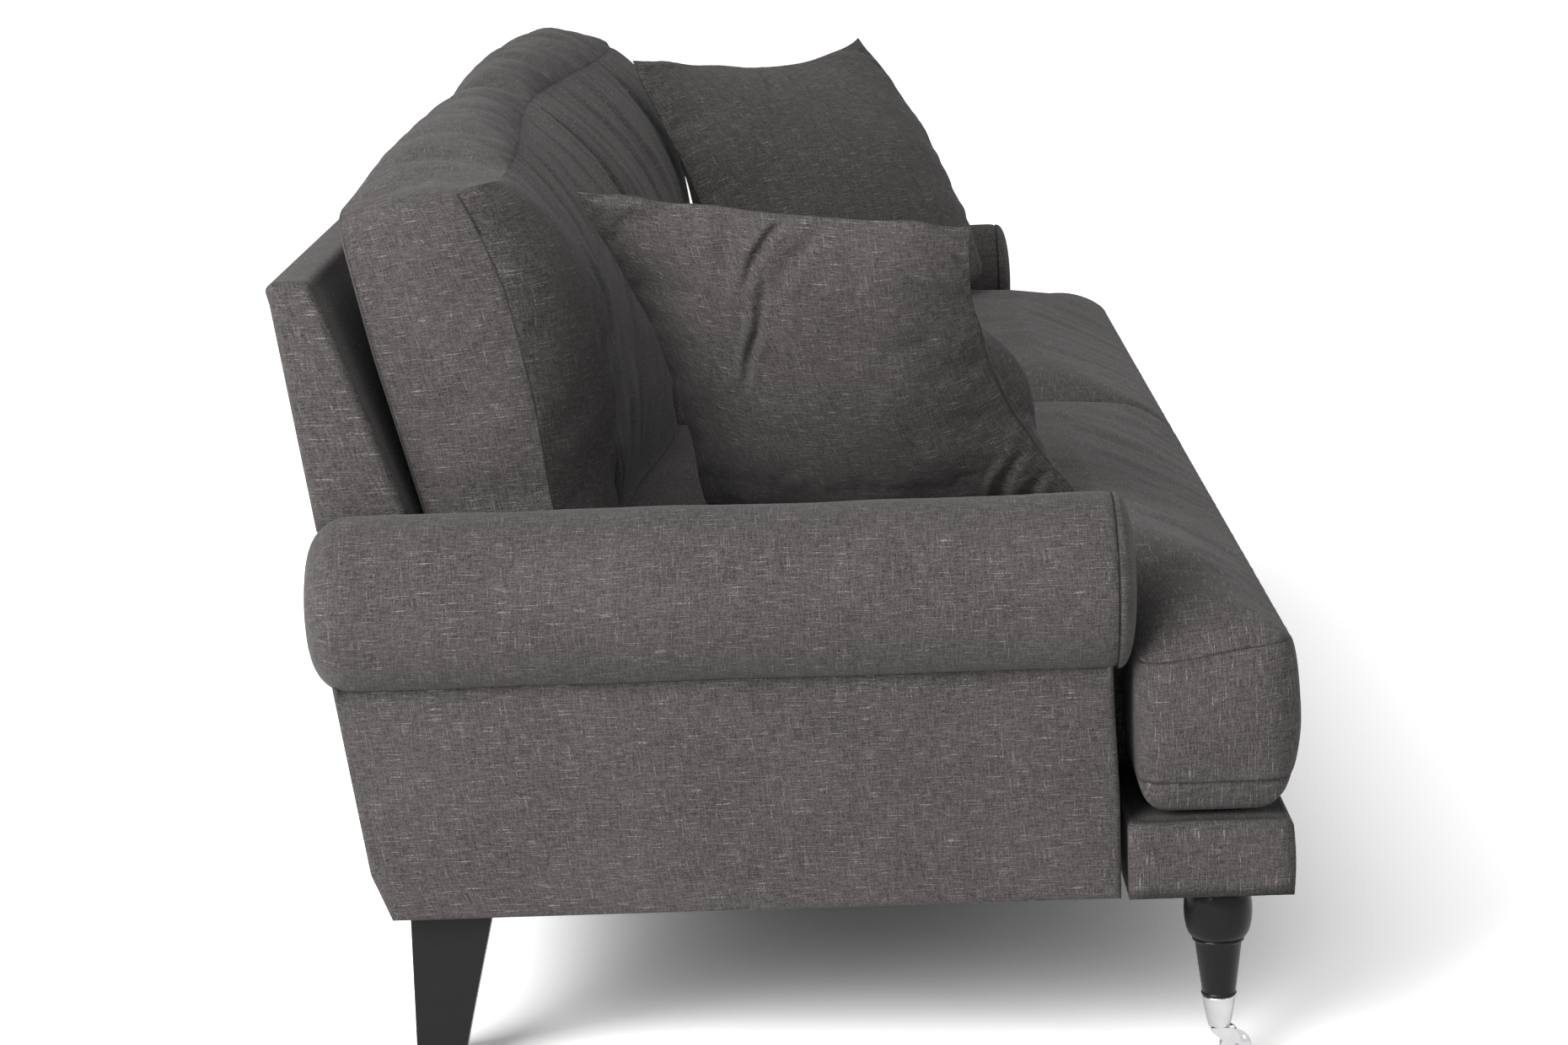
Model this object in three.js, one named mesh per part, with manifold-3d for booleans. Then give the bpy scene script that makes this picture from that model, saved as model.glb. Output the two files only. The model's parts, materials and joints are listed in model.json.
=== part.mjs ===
// English roll arm sofa: two seat cushions, two back cushions and two scatter cushions on an
// upholstered timber body, with plain rear legs and turned front legs in cup castors.
// Millimetres, +Z up. The front faces -Y, and left and right are as seen from the front.
import * as THREE from 'three';
import { mergeVertices } from 'three/addons/utils/BufferGeometryUtils.js';
import Module from 'manifold-3d';

const wasm = await Module();
wasm.setup();

// Whole sofa. The body leans back as one piece, and body sizes are measured along and square to
// its underside, from a point on the underside below the middle of the seat.
const overallWidth = 2260;
const bodyLean = THREE.MathUtils.degToRad(1.95);
const undersideHeight = 168;
const fitGap = 0.3;
const cutOverrun = 5;

// Arms
const armThickness = 123;
const rollRadius = 82;
const rollOverhang = 41;
const rollAxisHeight = 296;
const rollRear = { from: 409, dome: 40 };
const ROLL_END_POWER_SHARE = 0.5;
const armFront = -298;
const armBodyTopShare = 0.3;
const facingDepth = 20;
const armOutline = { footRear: 383, kinkRear: 399, kinkHeight: 38, seamRear: 427, seamHeight: 225 };

// Back
const backOverArm = 19;
const backEarHeight = 352;
const backTop = { front: 439, frontHeight: 592, rear: 482, rearHeight: 588 };
const backWaist = { front: 355, rear: 448, height: 352 };
const backUnderside = 66;
const backEdgeRound = 9;

// Front border, the padded box in front of the arms
const borderFront = -458.5;
const borderRear = -305;
const borderHeight = 72;
const borderWall = 10;
const borderRound = 5;

// Timber frame, springs and deck
const timber = 22;
const railHeight = 52;
const rearRailFront = 340;
const coverThickness = 1.5;
const blockWidth = 98;
const rearBlock = { length: 84, width: 70, height: 45 };
const springWire = 4;
const springSwing = 22;
const springWaves = 6;
const springCrown = 15.4;
const springPlaceShares = [0.166, 0.497, 0.829];
const springEndInset = 11;
const deckThickness = 13.7;
const deckTop = 85.7;

// Legs and their bolts
const legInset = { side: 60, front: 65 };
const rearLeg = { topFront: 291, topRear: 369, footFront: 328, footRear: 370, thick: 46, inset: 28 };
const boltRadius = 4;
const boltHole = 4.3;
const boltInLeg = 30;
const boltInBlock = 36;
const armBolt = { reach: 44, headRadius: 8, headDepth: 6, height: 28, front: -190, rear: 230 };
const legTop = { radius: 25, flat: 4 };
const legBulb = { radius: 32.5, drop: 29 };
const legNeck = { radius: 24, drop: 56 };
const legBead = { radius: 25.4, thick: 5 };
const legCone = { topRadius: 22.4, footRadius: 16 };
const legCollar = { radius: 16.9, thick: 4 };
const legTip = { radius: 13.8, footRadius: 9.8 };

// Castors
const wheelRadius = 15.5;
const wheelWidth = 12;
const wheelSides = 24;
const wheelCrown = 1;
const axleRadius = 2.5;
const runningGap = 0.08;
const castorTrail = 15;
const forkDrop = 20.6;
const cheekThick = 2.2;
const cheekGap = 0.7;
const crownThick = 3.4;
const stemRadius = 4;
const stemRise = 6;
const cupHeight = 31;
const cupTopRadius = 16;
const cupFootRadius = 10.4;
const cupWall = 1.7;
const cupFloor = 9;

// Seat cushions
const seatCushion = {
  inner: 2, armGap: 9, earOverhang: 9, front: -459, earRear: -315, rear: 262,
  rearLean: 38, lowSeam: 114, highSeam: 226, frontSeam: 243, crown: 67, underCrown: 28, earSag: 8,
  earDroop: 14, earDroopReach: 100,
};
const seatCrownReach = 70;
const seatArmFirmShare = 1.6;
const seatUnderReach = 28;
const seatRearFirmShare = 1.5;
const seamRow = 14;
const borderBulge = 7;
const earRearBulge = 3;
const seatRest = { rise: 54, from: 35, to: 100 };

// Back cushions, as an outline seen from the end
const backCushion = {
  inner: 2, armGap: 16, rearGap: 4.8, rearTop: 413, frontFoot: 208, frontTop: 302,
  rearTopHeight: 650, frontTopHeight: 670, rearCrown: 18, reach: 170, endBulge: 7,
};
const backFullness = {
  left: { crown: 62, seamBow: 37, topLift: 38, endDroop: 130 },
  right: { crown: 84, seamBow: 50, topLift: 46, endDroop: 0 },
};
const seamBowReach = { end: 80, inner: 800 };
const topLiftReach = 250;
const backRearLift = 8;

// Scatter cushions
const scatterHalfThick = 78;
const scatterFlatShare = 0.985;
const scatterSagShare = 0.2;
const scatterLeft = {
  rearHeadShare: -0.8178, rearHeadDepth: 201.4, rearHeadHeight: 643.3,
  frontHeadShare: -0.9317, frontHeadDepth: -183.7, frontHeadHeight: 608.8,
  rearFootShare: -0.6211, rearFootDepth: 83.1, rearFootHeight: 337.4,
  frontFootShare: -0.7246, frontFootDepth: -258.6, frontFootHeight: 345.5,
  headBow: 3, rearBow: 14, footBow: -58, frontBow: 12,
};
const scatterRight = {
  rearHeadShare: 0.6489, rearHeadDepth: 209.2, rearHeadHeight: 668.6,
  frontHeadShare: 0.9731, frontHeadDepth: -102, frontHeadHeight: 667.6,
  rearFootShare: 0.5176, rearFootDepth: 59.1, rearFootHeight: 335.6,
  frontFootShare: 0.8282, frontFootDepth: -266, frontFootHeight: 338.5,
  headBow: 28, rearBow: 2, footBow: -50, frontBow: -34,
};

const panelHalf = overallWidth / 2 - rollOverhang;
const armInner = panelHalf - armThickness;
const rollAxis = overallWidth / 2 - rollRadius;
const backHalfWidth = armInner + backOverArm;
const seatRestHeight = seatCushion.highSeam + seatRest.rise;
const backSlope = (backTop.front - backWaist.front) / (backTop.frontHeight - backWaist.height);
const backFaceAt = (z) => backWaist.front + backSlope * (z - backWaist.height);
const footRest = (y) => (y * Math.sin(bodyLean) - undersideHeight) / Math.cos(bodyLean);

const CLOTH = { color: 0x56504d, roughness: 0.95, metalness: 0 };
const LINING = { color: 0x1d1c1c, roughness: 0.95, metalness: 0 };
const TIMBER = { color: 0xb08a5e, roughness: 0.7, metalness: 0 };
const BLACK_WOOD = { color: 0x1b1a1a, roughness: 0.45, metalness: 0 };
const CHROME = { color: 0xc9c9c9, roughness: 0.18, metalness: 1 };
const STEEL = { color: 0x8d8f91, roughness: 0.4, metalness: 1 };

const sofa = new THREE.Group();
const body = new THREE.Group();
body.rotation.x = -bodyLean;
body.position.z = undersideHeight;
sofa.add(body);

function addPart(parent, name, geometry, finish) {
  const mesh = new THREE.Mesh(geometry, new THREE.MeshStandardMaterial(finish));
  mesh.name = name;
  parent.add(mesh);
  return mesh;
}

// Adds a right-hand piece and its mirror image on the left.
function addPair(name, geometry, finish) {
  addPart(body, `${name}_right`, geometry, finish);
  addPart(body, `${name}_left`, mirrored(geometry), finish);
}

function bare(geometry) {
  const copy = geometry.clone();
  for (const key of Object.keys(copy.attributes)) {
    if (key !== 'position') copy.deleteAttribute(key);
  }
  return mergeVertices(copy, 1e-4);
}

function mirrored(geometry) {
  const copy = bare(geometry);
  copy.scale(-1, 1, 1);
  const index = copy.index.array;
  for (let i = 0; i < index.length; i += 3) [index[i], index[i + 1]] = [index[i + 1], index[i]];
  return copy;
}

function toSolid(geometry) {
  const shape = bare(geometry);
  const index = shape.index.array;
  const triangles = [];
  for (let i = 0; i < index.length; i += 3) {
    const [a, b, c] = [index[i], index[i + 1], index[i + 2]];
    if (a !== b && b !== c && c !== a) triangles.push(a, b, c);
  }
  return new wasm.Manifold(new wasm.Mesh({
    numProp: 3,
    vertProperties: new Float32Array(shape.attributes.position.array),
    triVerts: new Uint32Array(triangles),
  }));
}

function toGeometry(solid) {
  const mesh = solid.getMesh();
  const geometry = new THREE.BufferGeometry();
  geometry.setAttribute('position', new THREE.BufferAttribute(mesh.vertProperties, 3));
  geometry.setIndex(new THREE.BufferAttribute(mesh.triVerts, 1));
  return geometry;
}

const cutFrom = (geometry, ...tools) => toGeometry(
  tools.reduce((solid, tool) => solid.subtract(toSolid(tool)), toSolid(geometry)));

const joinOf = (...pieces) => toGeometry(
  pieces.map(toSolid).reduce((all, piece) => all.add(piece)));

// A box between two corners.
function block([x0, x1], [y0, y1], [z0, z1]) {
  const box = new THREE.BoxGeometry(x1 - x0, y1 - y0, z1 - z0);
  return box.translate((x0 + x1) / 2, (y0 + y1) / 2, (z0 + z1) / 2);
}

// An outline of [y, z] points, or a Shape, run along X.
function prism(outline, x0, x1, curveSegments = 4) {
  const shape = outline instanceof THREE.Shape
    ? outline : new THREE.Shape(outline.map(([y, z]) => new THREE.Vector2(y, z)));
  const geometry = new THREE.ExtrudeGeometry(shape, { depth: x1 - x0, bevelEnabled: false, curveSegments });
  geometry.applyMatrix4(new THREE.Matrix4().makeBasis(
    new THREE.Vector3(0, 1, 0), new THREE.Vector3(0, 0, 1), new THREE.Vector3(1, 0, 0)));
  return geometry.translate(x0, 0, 0);
}

// A turned piece: [radius, height] points from its foot up, round the Z axis.
function turned(points, sides) {
  const profile = points.map(([radius, height]) => new THREE.Vector2(radius, height));
  return new THREE.LatheGeometry(profile, sides).rotateX(Math.PI / 2);
}

const alongX = (geometry) => geometry.rotateY(Math.PI / 2);

// A straight pin or hole along Z between two heights.
const rod = (radius, z0, z1, sides = 16) => turned([[0, z0], [radius, z0], [radius, z1], [0, z1]], sides);

// Evenly spaced values from one end to the other, both included.
const spread = (from, to, count) => Array.from({ length: count + 1 }, (_, i) => from + (to - from) * i / count);

const smooth = (from, to, value) => {
  const t = THREE.MathUtils.clamp((value - from) / (to - from), 0, 1);
  return t * t * (3 - 2 * t);
};

// The rise of a stuffed face at a distance from its seams, full from the reach on.
const CROWN_POWER_SHARE = 0.75;
const stuffed = (distance, reach) =>
  Math.sin(Math.PI / 2 * THREE.MathUtils.clamp(distance / reach, 0, 1)) ** CROWN_POWER_SHARE;

// A closed cushion over a plan grid of us and vs lines. holds(u, v) says which cells it covers.
// place(u, v, face, out) gives a point: face is 1 on the upper side, -1 on the lower side and 0
// on the ring half way down the border, and out is the outward direction there. A knife edge
// cushion has no border, and its two sides share their edge.
function cushionGeometry({ us, vs, holds, place, boxed }) {
  const points = [];
  const faces = [];
  const known = new Map();
  const covered = (i, j) => i >= 0 && j >= 0 && i < us.length - 1 && j < vs.length - 1
    && holds((us[i] + us[i + 1]) / 2, (vs[j] + vs[j + 1]) / 2);
  const out = new Map();
  const rims = [];
  for (let i = 0; i < us.length - 1; i += 1) {
    for (let j = 0; j < vs.length - 1; j += 1) {
      if (!covered(i, j)) continue;
      const corners = [[i, j], [i + 1, j], [i + 1, j + 1], [i, j + 1]];
      const sides = [[0, -1], [1, 0], [0, 1], [-1, 0]];
      sides.forEach(([du, dv], k) => {
        if (covered(i + du, j + dv)) return;
        const rim = [corners[k], corners[(k + 1) % 4]];
        rims.push(rim);
        for (const key of rim.map(String)) {
          const sum = out.get(key) ?? new THREE.Vector2();
          out.set(key, sum.add(new THREE.Vector2(du, dv)));
        }
      });
    }
  }
  for (const direction of out.values()) direction.normalize();
  const vertex = ([i, j], face) => {
    const edge = out.get(String([i, j]));
    const level = edge && !boxed ? 0 : face;
    const key = `${i},${j},${level}`;
    if (!known.has(key)) {
      known.set(key, points.length / 3);
      points.push(...place(us[i], vs[j], level, edge ?? new THREE.Vector2()).toArray());
    }
    return known.get(key);
  };
  const quad = (a, b, c, d) => faces.push(a, b, c, a, c, d);
  for (let i = 0; i < us.length - 1; i += 1) {
    for (let j = 0; j < vs.length - 1; j += 1) {
      if (!covered(i, j)) continue;
      const corners = [[i, j], [i + 1, j], [i + 1, j + 1], [i, j + 1]];
      quad(...corners.map((corner) => vertex(corner, 1)));
      quad(...[...corners].reverse().map((corner) => vertex(corner, -1)));
    }
  }
  if (boxed) {
    for (const [a, b] of rims) {
      quad(vertex(a, 1), vertex(a, 0), vertex(b, 0), vertex(b, 1));
      quad(vertex(a, 0), vertex(a, -1), vertex(b, -1), vertex(b, 0));
    }
  }
  const geometry = new THREE.BufferGeometry();
  geometry.setAttribute('position', new THREE.Float32BufferAttribute(points, 3));
  geometry.setIndex(faces);
  return geometry;
}

// Timber seat frame. The front rail and an inner rail stand inside the border, with a block
// between them over each front leg. Two side rails run back from the inner rail to the rear rail.
const borderInsideFront = borderFront + borderWall + fitGap;
const borderInsideRear = borderRear - borderWall - fitGap;
const borderInsideEnd = panelHalf - borderWall - fitGap;
const borderInsideTop = borderHeight - borderWall - fitGap;
const timberFoot = coverThickness + fitGap;
const railEnd = armInner - fitGap;
const sideRailFront = borderInsideRear + fitGap;

function addSeatFrame() {
  const tall = [timberFoot, borderInsideTop];
  const low = [timberFoot, railHeight];
  const addRail = (name, xs, ys, zs) => addPart(body, name, block(xs, ys, zs), TIMBER);
  const fullWidth = [-borderInsideEnd, borderInsideEnd];
  addRail('front_rail', fullWidth, [borderInsideFront, borderInsideFront + timber], tall);
  addRail('inner_rail', fullWidth, [borderInsideRear - timber, borderInsideRear], low);
  addRail('rear_rail', [-railEnd, railEnd], [rearRailFront, rearRailFront + timber], low);
  addRail('centre_rail', [-timber / 2, timber / 2], [sideRailFront, rearRailFront - fitGap], low);
  const plank = block([railEnd - timber, railEnd], [sideRailFront, rearRailFront - fitGap], low);
  const holes = [armBolt.front, armBolt.rear].map((y) => alongX(
    rod(boltHole, railEnd - timber - cutOverrun, railEnd + cutOverrun)).translate(0, y, armBolt.height));
  addPair('side_rail', cutFrom(plank, ...holes), TIMBER);
}

// Glue blocks that take the leg bolts. The rear ones sit in pockets under the arms.
const frontLegX = panelHalf - legInset.side;
const frontLegY = borderFront + legInset.front;
const rearLegX = panelHalf - rearLeg.inset - rearLeg.thick / 2;
const rearLegY = (rearLeg.topFront + rearLeg.topRear) / 2;

function rearBlockBox(spare) {
  return block(
    [rearLegX - rearBlock.width / 2 - spare, rearLegX + rearBlock.width / 2 + spare],
    [rearLegY - rearBlock.length / 2 - spare, rearLegY + rearBlock.length / 2 + spare],
    [spare > 0 ? -cutOverrun : 0, rearBlock.height + spare]);
}

function addLegBlocks() {
  const front = block(
    [borderInsideEnd - blockWidth, borderInsideEnd],
    [borderInsideFront + timber + fitGap, borderInsideRear - timber - fitGap],
    [timberFoot, borderInsideTop]);
  const bore = rod(boltHole, -cutOverrun, boltInBlock + fitGap);
  addPair('front_leg_block', cutFrom(front, bore.clone().translate(frontLegX, frontLegY, 0)), TIMBER);
  addPair('rear_leg_block', cutFrom(rearBlockBox(0), bore.clone().translate(rearLegX, rearLegY, 0)), TIMBER);
}

// Sinuous springs of round wire, from the inner rail to the rear rail, arched up under the deck.
class SinuousWire extends THREE.Curve {
  getPoint(t) {
    const ends = Math.sin(Math.PI * t);
    const y = THREE.MathUtils.lerp(borderInsideRear - springEndInset, rearRailFront + springEndInset, t);
    const swing = springSwing * Math.sin(2 * Math.PI * springWaves * t) * Math.min(1, ends * springWaves);
    return new THREE.Vector3(swing, y, railHeight + fitGap + springWire / 2 + springCrown * ends);
  }
}

function addSprings() {
  const section = new THREE.Shape();
  section.absarc(0, 0, springWire / 2, 0, 2 * Math.PI);
  const wire = new THREE.ExtrudeGeometry(section, {
    steps: springWaves * 8, curveSegments: 2, bevelEnabled: false, extrudePath: new SinuousWire(),
  });
  springPlaceShares.forEach((share, k) => (
    addPair(`seat_spring_${k + 1}`, wire.clone().translate(share * armInner, 0, 0), STEEL)));
}

// The sprung platform that the seat cushions lie on, and the black lining under the frame.
function addDeckAndLining() {
  const rear = backFaceAt(deckTop - deckThickness) - fitGap;
  const deck = block([-railEnd, railEnd], [borderRear + fitGap, rear], [deckTop - deckThickness, deckTop]);
  addPart(body, 'seat_deck', deck, CLOTH);

  const frontEdge = borderInsideFront;
  const rearEdge = rearRailFront + timber;
  const outline = new THREE.Shape([
    [-borderInsideEnd, frontEdge], [borderInsideEnd, frontEdge],
    [borderInsideEnd, borderInsideRear], [railEnd, borderInsideRear],
    [railEnd, rearEdge], [-railEnd, rearEdge],
    [-railEnd, borderInsideRear], [-borderInsideEnd, borderInsideRear],
  ].map(([x, y]) => new THREE.Vector2(x, y)));
  for (const x of [-frontLegX, frontLegX]) {
    const hole = new THREE.Path();
    hole.absarc(x, frontLegY, boltHole, 0, 2 * Math.PI, true);
    outline.holes.push(hole);
  }
  const sheet = new THREE.ExtrudeGeometry(
    outline, { depth: coverThickness, bevelEnabled: false, curveSegments: 8 });
  addPart(body, 'underside_lining', sheet, LINING);
}

// The padded border: a box open below, and open behind between the arms, with rounded edges.
function roundedOutline(y0, y1, z0, z1, radius) {
  const shape = new THREE.Shape();
  shape.absarc(y1 - radius, z1 - radius, radius, 0, Math.PI / 2);
  shape.absarc(y0 + radius, z1 - radius, radius, Math.PI / 2, Math.PI);
  shape.absarc(y0 + radius, z0 + radius, radius, Math.PI, 1.5 * Math.PI);
  shape.absarc(y1 - radius, z0 + radius, radius, 1.5 * Math.PI, 2 * Math.PI);
  return shape;
}

function addFrontBorder() {
  const end = roundedOutline(borderFront, borderRear, 0, borderHeight, borderRound);
  const box = prism(end, -panelHalf, panelHalf);
  const inside = block(
    [-panelHalf + borderWall, panelHalf - borderWall],
    [borderFront + borderWall, borderRear - borderWall],
    [-cutOverrun, borderHeight - borderWall]);
  const behind = block(
    [-armInner, armInner],
    [borderFront + borderWall, borderRear + cutOverrun],
    [-cutOverrun, borderHeight - borderWall]);
  addPart(body, 'front_border', cutFrom(box, inside, behind), CLOTH);
}

// Arms: a flat-sided body with a hollow top, a round roll lying in it and a domed facing pad.
function addArms() {
  const bodyTop = rollAxisHeight - rollRadius * armBodyTopShare;
  const { footRear, kinkRear, kinkHeight, seamRear, seamHeight } = armOutline;
  const side = prism([
    [armFront, 0], [footRear, 0], [kinkRear, kinkHeight],
    [seamRear, seamHeight], [seamRear, bodyTop], [armFront, bodyTop],
  ], armInner, panelHalf);
  const alongArm = (geometry) => geometry.rotateX(-Math.PI / 2).translate(rollAxis, 0, rollAxisHeight);
  const seat = alongArm(rod(rollRadius + fitGap, armFront - cutOverrun, seamRear + cutOverrun, 40));
  const boltHoles = [armBolt.front, armBolt.rear].map((y) => alongX(
    rod(boltHole, armInner - cutOverrun, armInner + armBolt.reach + fitGap)).translate(0, y, armBolt.height));
  addPair('arm_body', cutFrom(side, seat, rearBlockBox(fitGap), ...boltHoles), CLOTH);

  const rearEnd = spread(0, Math.PI / 2, 6).slice(1, -1).map((angle) => [
    rollRadius * Math.cos(angle) ** ROLL_END_POWER_SHARE,
    rollRear.from + rollRear.dome * Math.sin(angle),
  ]);
  const roll = turned([
    [0, armFront], [rollRadius, armFront], [rollRadius, rollRear.from], ...rearEnd,
    [0, rollRear.from + rollRear.dome],
  ], 40);
  addPair('arm_roll', alongArm(roll), CLOTH);

  const dome = spread(0, Math.PI / 2, 5).map((angle) => [
    rollRadius * Math.sin(angle), armFront - fitGap - facingDepth * Math.cos(angle)]);
  addPair('arm_facing', alongArm(turned([...dome, [0, armFront - fitGap]], 40)), CLOTH);
}

// The back: a wedge that stands on the rear rail between the arms and widens over the rolls.
function addBack() {
  const { footRear, kinkRear, kinkHeight, seamRear, seamHeight } = armOutline;
  const skirtFront = rearRailFront + timber + fitGap;
  const outline = [
    [backFaceAt(backUnderside), backUnderside], [skirtFront, backUnderside], [skirtFront, 0],
    [footRear, 0], [kinkRear, kinkHeight], [seamRear, seamHeight], [backWaist.rear, backWaist.height],
    [backTop.rear, backTop.rearHeight - backEdgeRound], [backTop.rear - backEdgeRound, backTop.rearHeight],
    [backTop.front + backEdgeRound, backTop.frontHeight], [backTop.front, backTop.frontHeight - backEdgeRound],
  ];
  const wedge = prism(outline, -backHalfWidth, backHalfWidth);
  const beside = (side) => block(
    [side * (armInner - fitGap), side * (backHalfWidth + cutOverrun)].sort((a, b) => a - b),
    [-undersideHeight, overallWidth], [-cutOverrun, backEarHeight]);
  addPart(body, 'back_frame', cutFrom(wedge, beside(1), beside(-1)), CLOTH);
}

// Bolts that hold the arms to the side rails, heads inside the frame.
function addArmBolts() {
  const headEnd = railEnd - timber - fitGap;
  const bolt = alongX(turned([
    [0, headEnd - armBolt.headDepth], [armBolt.headRadius, headEnd - armBolt.headDepth],
    [armBolt.headRadius, headEnd], [boltRadius, headEnd], [boltRadius, armInner + armBolt.reach],
    [0, armInner + armBolt.reach],
  ], 12));
  addPair('arm_bolt_front', bolt.clone().translate(0, armBolt.front, armBolt.height), STEEL);
  addPair('arm_bolt_rear', bolt.clone().translate(0, armBolt.rear, armBolt.height), STEEL);
}

// Rear legs: plain blocks, upright behind and tapered in front, cut level with the floor.
function addRearLegs() {
  const { topFront, topRear, footFront, footRear, thick } = rearLeg;
  const side = prism(
    [[topFront, -fitGap], [footFront, footRest(footFront)], [footRear, footRest(footRear)], [topRear, -fitGap]],
    rearLegX - thick / 2, rearLegX + thick / 2);
  const hole = rod(boltHole, -boltInLeg - fitGap, cutOverrun).translate(rearLegX, rearLegY, 0);
  addPair('rear_leg', cutFrom(side, hole), BLACK_WOOD);
  const bolt = rod(boltRadius, -boltInLeg, boltInBlock, 12);
  addPair('rear_leg_bolt', bolt.clone().translate(rearLegX, rearLegY, 0), STEEL);
  addPair('front_leg_bolt', bolt.clone().translate(frontLegX, frontLegY, 0), STEEL);
}

// Castor heights in the body's own measure, worked up from a wheel that stands on one flat.
const wheelFlat = wheelRadius * Math.cos(Math.PI / wheelSides);
const wheelY = frontLegY - castorTrail;
const wheelZ = footRest(wheelY) + wheelFlat / Math.cos(bodyLean);
const cupFoot = wheelZ + forkDrop;
const cupTop = cupFoot + cupHeight;

// Points of a round moulding between two heights, swelling from one radius to another.
function swell(fromRadius, toRadius, z0, z1, bulge, count) {
  return spread(0, 1, count).slice(1).map((t) => [
    THREE.MathUtils.lerp(fromRadius, toRadius, t) + bulge * Math.sin(Math.PI * t),
    THREE.MathUtils.lerp(z0, z1, t),
  ]);
}

// Front legs: turned with a bulb, a neck, a bead and a cone that ends in the castor cup.
function addFrontLegs() {
  const beadFoot = -legNeck.drop - legBead.thick;
  const coneFoot = cupTop + legCollar.thick;
  const tipFoot = cupFoot + cupFloor + fitGap;
  const bulbSpan = legNeck.drop - legBulb.drop;
  const bulbLow = spread(0, Math.PI / 2, 5).map((angle) => [
    legNeck.radius + (legBulb.radius - legNeck.radius) * Math.sin(angle),
    -legNeck.drop + bulbSpan * (1 - Math.cos(angle)),
  ]);
  const bulbHigh = spread(0, Math.PI / 2, 4).slice(1).map((angle) => [
    legTop.radius + (legBulb.radius - legTop.radius) * Math.cos(angle),
    -legBulb.drop + (legBulb.drop - legTop.flat) * Math.sin(angle),
  ]);
  const collarSwell = legCollar.radius - legCone.footRadius;
  const profile = [
    [0, tipFoot], [legTip.footRadius, tipFoot], [legTip.radius, cupTop - fitGap],
    [legTip.radius, cupTop + fitGap], [legCone.footRadius, cupTop + fitGap],
    ...swell(legCone.footRadius, legCone.footRadius, cupTop + fitGap, coneFoot, collarSwell, 4),
    [legCone.topRadius, beadFoot],
    ...swell(legCone.topRadius, legNeck.radius, beadFoot, -legNeck.drop, legBead.radius - legNeck.radius, 4),
    ...bulbLow.slice(1), ...bulbHigh,
    [legTop.radius, -fitGap], [boltHole, -fitGap], [boltHole, -boltInLeg - fitGap], [0, -boltInLeg - fitGap],
  ];
  addPair('front_leg', turned(profile, 28).translate(frontLegX, frontLegY, 0), BLACK_WOOD);
}

// Castors: a tapered cup round the leg's tip, a swivelling fork on a stem, an axle and a wheel.
function addCastors() {
  const stemHole = stemRadius + runningGap;
  const cup = turned([
    [stemHole, cupFoot], [cupFootRadius, cupFoot], [cupTopRadius, cupTop - cupWall], [cupTopRadius, cupTop],
    [cupTopRadius - cupWall, cupTop], [legTip.footRadius + fitGap, cupFoot + cupFloor],
    [stemHole, cupFoot + cupFloor], [stemHole, cupFoot],
  ], 28);
  addPair('castor_cup', cup.translate(frontLegX, frontLegY, 0), CHROME);

  const cheekInner = wheelWidth / 2 + cheekGap;
  const cheekOuter = cheekInner + cheekThick;
  const eye = axleRadius * 2;
  const outline = new THREE.Shape();
  outline.moveTo(frontLegY + cupFootRadius * 0.8, cupFoot - fitGap);
  outline.lineTo(frontLegY + cupFootRadius * 0.8, cupFoot - fitGap - crownThick);
  outline.lineTo(wheelY + eye, wheelZ);
  outline.absarc(wheelY, wheelZ, eye, 0, -Math.PI, true);
  outline.quadraticCurveTo(wheelY - eye, cupFoot - fitGap, frontLegY - cupFootRadius * 0.8, cupFoot - fitGap);
  const cheek = prism(outline, cheekInner, cheekOuter, 6);
  const crown = block(
    [-cheekOuter, cheekOuter],
    [frontLegY - cupFootRadius * 0.8, frontLegY + cupFootRadius * 0.8],
    [cupFoot - fitGap - crownThick, cupFoot - fitGap]);
  const stem = rod(stemRadius, cupFoot - fitGap - crownThick / 2, cupFoot + stemRise, 20);
  stem.translate(0, frontLegY, 0);
  const holeHalf = cheekOuter + cutOverrun;
  const axleHole = alongX(rod(axleRadius + runningGap, -holeHalf, holeHalf, wheelSides));
  axleHole.translate(0, wheelY, wheelZ);
  const fork = cutFrom(joinOf(cheek, mirrored(cheek), crown, stem), axleHole);
  const headEnd = cheekOuter + fitGap;
  const axle = alongX(turned([
    [0, -headEnd - cheekThick], [axleRadius * 1.5, -headEnd - cheekThick], [axleRadius * 1.5, -headEnd],
    [axleRadius, -headEnd], [axleRadius, headEnd], [axleRadius * 1.5, headEnd],
    [axleRadius * 1.5, headEnd + cheekThick], [0, headEnd + cheekThick],
  ], wheelSides)).translate(0, wheelY, wheelZ);
  const wheelBore = axleRadius + 2 * runningGap;
  const wheel = alongX(turned([
    [wheelBore, -wheelWidth / 2], [wheelRadius - wheelCrown, -wheelWidth / 2], [wheelRadius, -wheelWidth / 4],
    [wheelRadius, wheelWidth / 4], [wheelRadius - wheelCrown, wheelWidth / 2], [wheelBore, wheelWidth / 2],
    [wheelBore, -wheelWidth / 2],
  ], wheelSides));
  wheel.rotateX(Math.PI / wheelSides + bodyLean).translate(0, wheelY, wheelZ);
  for (const [side, x] of [['right', frontLegX], ['left', -frontLegX]]) {
    addPart(body, `castor_fork_${side}`, fork.clone().translate(x, 0, 0), CHROME);
    addPart(body, `castor_axle_${side}`, axle.clone().translate(x, 0, 0), CHROME);
    addPart(body, `castor_wheel_${side}`, wheel.clone().translate(x, 0, 0), CHROME);
  }
}

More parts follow.
